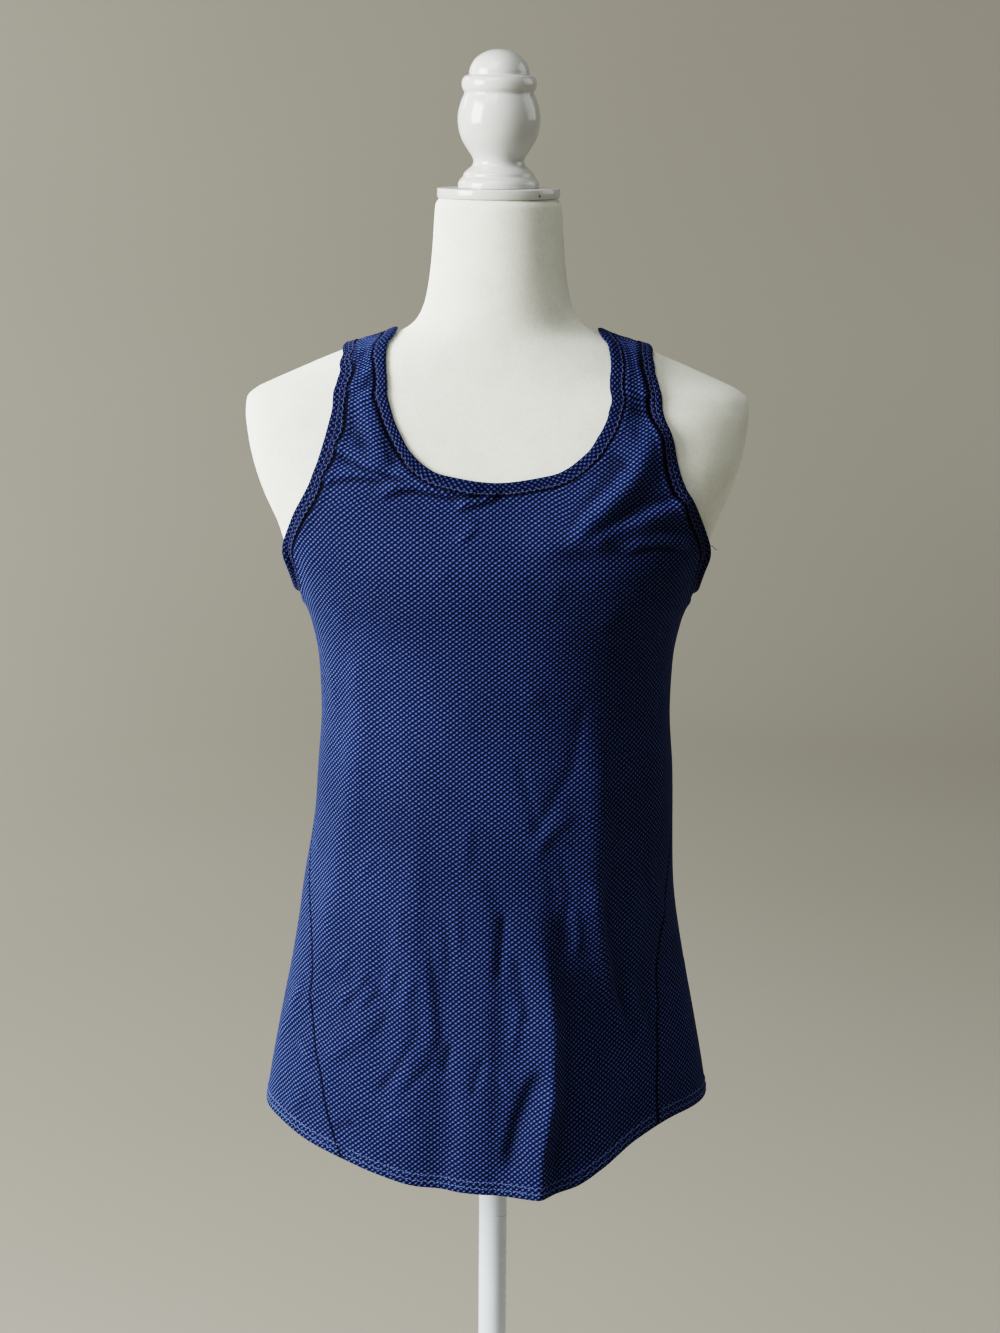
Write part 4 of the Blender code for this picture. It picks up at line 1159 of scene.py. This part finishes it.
def make_stage():
    """A plain floor that rises into a round wall far outside all the views."""
    flat, bend, top, steps = 4.4, 2.2, 5.0, 96
    profile = [(0.001, 0.0)] + [(r, 0.0) for r in (1, 2, 3, flat)]
    for angle in np.radians(range(10, 91, 10)):
        profile.append((flat + bend * math.sin(angle), bend - bend * math.cos(angle)))
    profile.append((flat + bend, top))
    turns = [2 * math.pi * k / steps for k in range(steps)]
    points = [(r * math.cos(turn), r * math.sin(turn), z) for r, z in profile for turn in turns]
    mesh = new_mesh("floor", points, ring_faces(len(profile), steps).reshape(-1, 4).tolist())
    mesh.materials.append(stage_material())
    link("floor", mesh)


def add_light(name, azimuth, distance, height, target, size, power):
    data = bpy.data.lights.new(name, "AREA")
    data.shape = "RECTANGLE"
    data.size, data.size_y = size
    data.energy = power
    lamp = link(name, data)
    place = Vector(at_radius(distance, azimuth, height))
    lamp.location = place
    lamp.rotation_mode = "QUATERNION"
    lamp.rotation_quaternion = (Vector(target) - place).to_track_quat("-Z", "Y")
    lamp.visible_camera = False


def make_light():
    middle = (0, 0, 1.0)
    add_light("window", -66, 2.6, 1.9, middle, (1.5, 1.75), 240)
    add_light("ceiling", -30, 1.7, 3.5, middle, (1.6, 1.6), 35)
    add_light("fill", 106, 3.0, 2.3, middle, (2, 2), 18)
    add_light("overhead", -131, 4.9, 3.2, (-2.6, 5.0, 0.6), (2.0, 2.0), 190)
    world = bpy.data.worlds.new("studio")
    world.use_nodes = True
    sky = world.node_tree.nodes["Background"].inputs
    sky["Color"].default_value = (0.96, 0.98, 1.0, 1)
    sky["Strength"].default_value = 0.075
    bpy.context.scene.world = world


def make_camera():
    place, tilt_down, roll = (0.0031, -2.4, 1.4407), math.radians(10.6), math.radians(0.34)
    data = bpy.data.cameras.new("camera")
    data.lens, data.sensor_width = 85.3, 36
    camera = link("camera", data)
    camera.matrix_world = (
        Matrix.Translation(place)
        @ Matrix.Rotation(math.pi / 2 - tilt_down, 4, "X")
        @ Matrix.Rotation(roll, 4, "Z")
    )
    bpy.context.scene.camera = camera


# ---- putting it together ----


def make_singlet(knit, binding, seam_thread, hem_thread):
    lengths = ClothLengths()
    neck, armhole = make_openings(
        (FRONT_TOP_ROWS, BACK_TOP_ROWS),
        (FRONT_ARM_ROWS + FRONT_TOP_ROWS, BACK_ARM_ROWS + BACK_TOP_ROWS),
    )
    edge = BAND_WIDTH - TUCK
    neck_line, arm_line = neck.moved(edge), armhole.moved(edge)
    n, a = neck.split, armhole.split
    panels = {}
    for name, is_front, arm_rows, neck_part, arm_part in (
        ("front_cloth", True, FRONT_ARM_ROWS, neck_line[: n + 1], arm_line[: a + 1]),
        ("back_cloth", False, BACK_ARM_ROWS, neck_line[n:], arm_line[a:]),
    ):
        right, left = (
            half_panel(neck_part, arm_part, seam, side, is_front, arm_rows)
            for seam, side in ((SIDE_SEAM_RIGHT, 1), (SIDE_SEAM_LEFT, -1))
        )
        panels[name] = make_panel(name, right, left, is_front, SEAM_ROWS + arm_rows, lengths, knit)
    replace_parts(panels["front_cloth"], "front_panel")
    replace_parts(panels["back_cloth"], "back_panel")

    neck, armhole = make_openings(BAND_STATIONS, ARMHOLE_STATIONS)
    height = armhole.edge[:, 1]
    flare = ARMHOLE_FLARE * ease((FLARE_TOP - height) / (FLARE_TOP - FLARE_FULL))
    flare = flare * (1 - 0.25 * ease((FLARE_FULL - height) / 24))
    bands = {
        "neck": (Band(neck, np.zeros(len(neck.edge)), True), "neck_binding"),
        "armhole_right": (Band(armhole, flare, False), "armhole_binding_right"),
        "armhole_left": (Band(armhole, flare, False, True), "armhole_binding_left"),
    }
    for name, (band, node) in bands.items():
        rows = NECK_STITCH_ROWS if name == "neck" else ARMHOLE_STITCH_ROWS
        strip = make_band(name + "_band", band, rows, binding)
        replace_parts(strip, node)
        threads = [band_stitches(name + "_stitches", band, rows, seam_thread)]
        if name == "armhole_right":
            threads.append(loose_thread("loose_thread", band, seam_thread))
    # the seams' turns where they meet the hem
    left_end, right_end = -float(seam_turn(SIDE_SEAM_LEFT, 626)), float(seam_turn(SIDE_SEAM_RIGHT, 641))
    front_hem = hem_stitches("front_hem_stitches", left_end + 1, right_end - 1, hem_thread)
    back_hem = hem_stitches("back_hem_stitches", right_end + 1, 360 + left_end - 1, hem_thread)


make_singlet(
    knit_material(
        "honeycomb_knit", (0.0012, 0.0022, 0.0084), (0.0054, 0.0121, 0.058), (0.086, 0.135, 0.34)
    ),
    knit_material(
        "binding_knit", (0.0008, 0.0015, 0.0062), (0.0028, 0.0068, 0.034), (0.05, 0.08, 0.21), 0.15
    ),
    thread_material("seam_thread", (0.062, 0.07, 0.165)),
    thread_material("hem_thread", (0.07, 0.11, 0.26)),
)
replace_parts(make_form(jersey_material()), "dress_form_body")
make_stand(
    gloss_material("gloss_white", (0.545, 0.55, 0.52), (0.59, 0.60, 0.575), 0.18),
    gloss_material("painted_tube", (0.66, 0.735, 0.78), (0.71, 0.785, 0.83), 0.22),
    pin_hole_shade_material(),
)
make_stage()
make_light()
make_camera()
bpy.context.scene.view_settings.view_transform = "Filmic"
bpy.context.scene.view_settings.look = "Medium High Contrast"
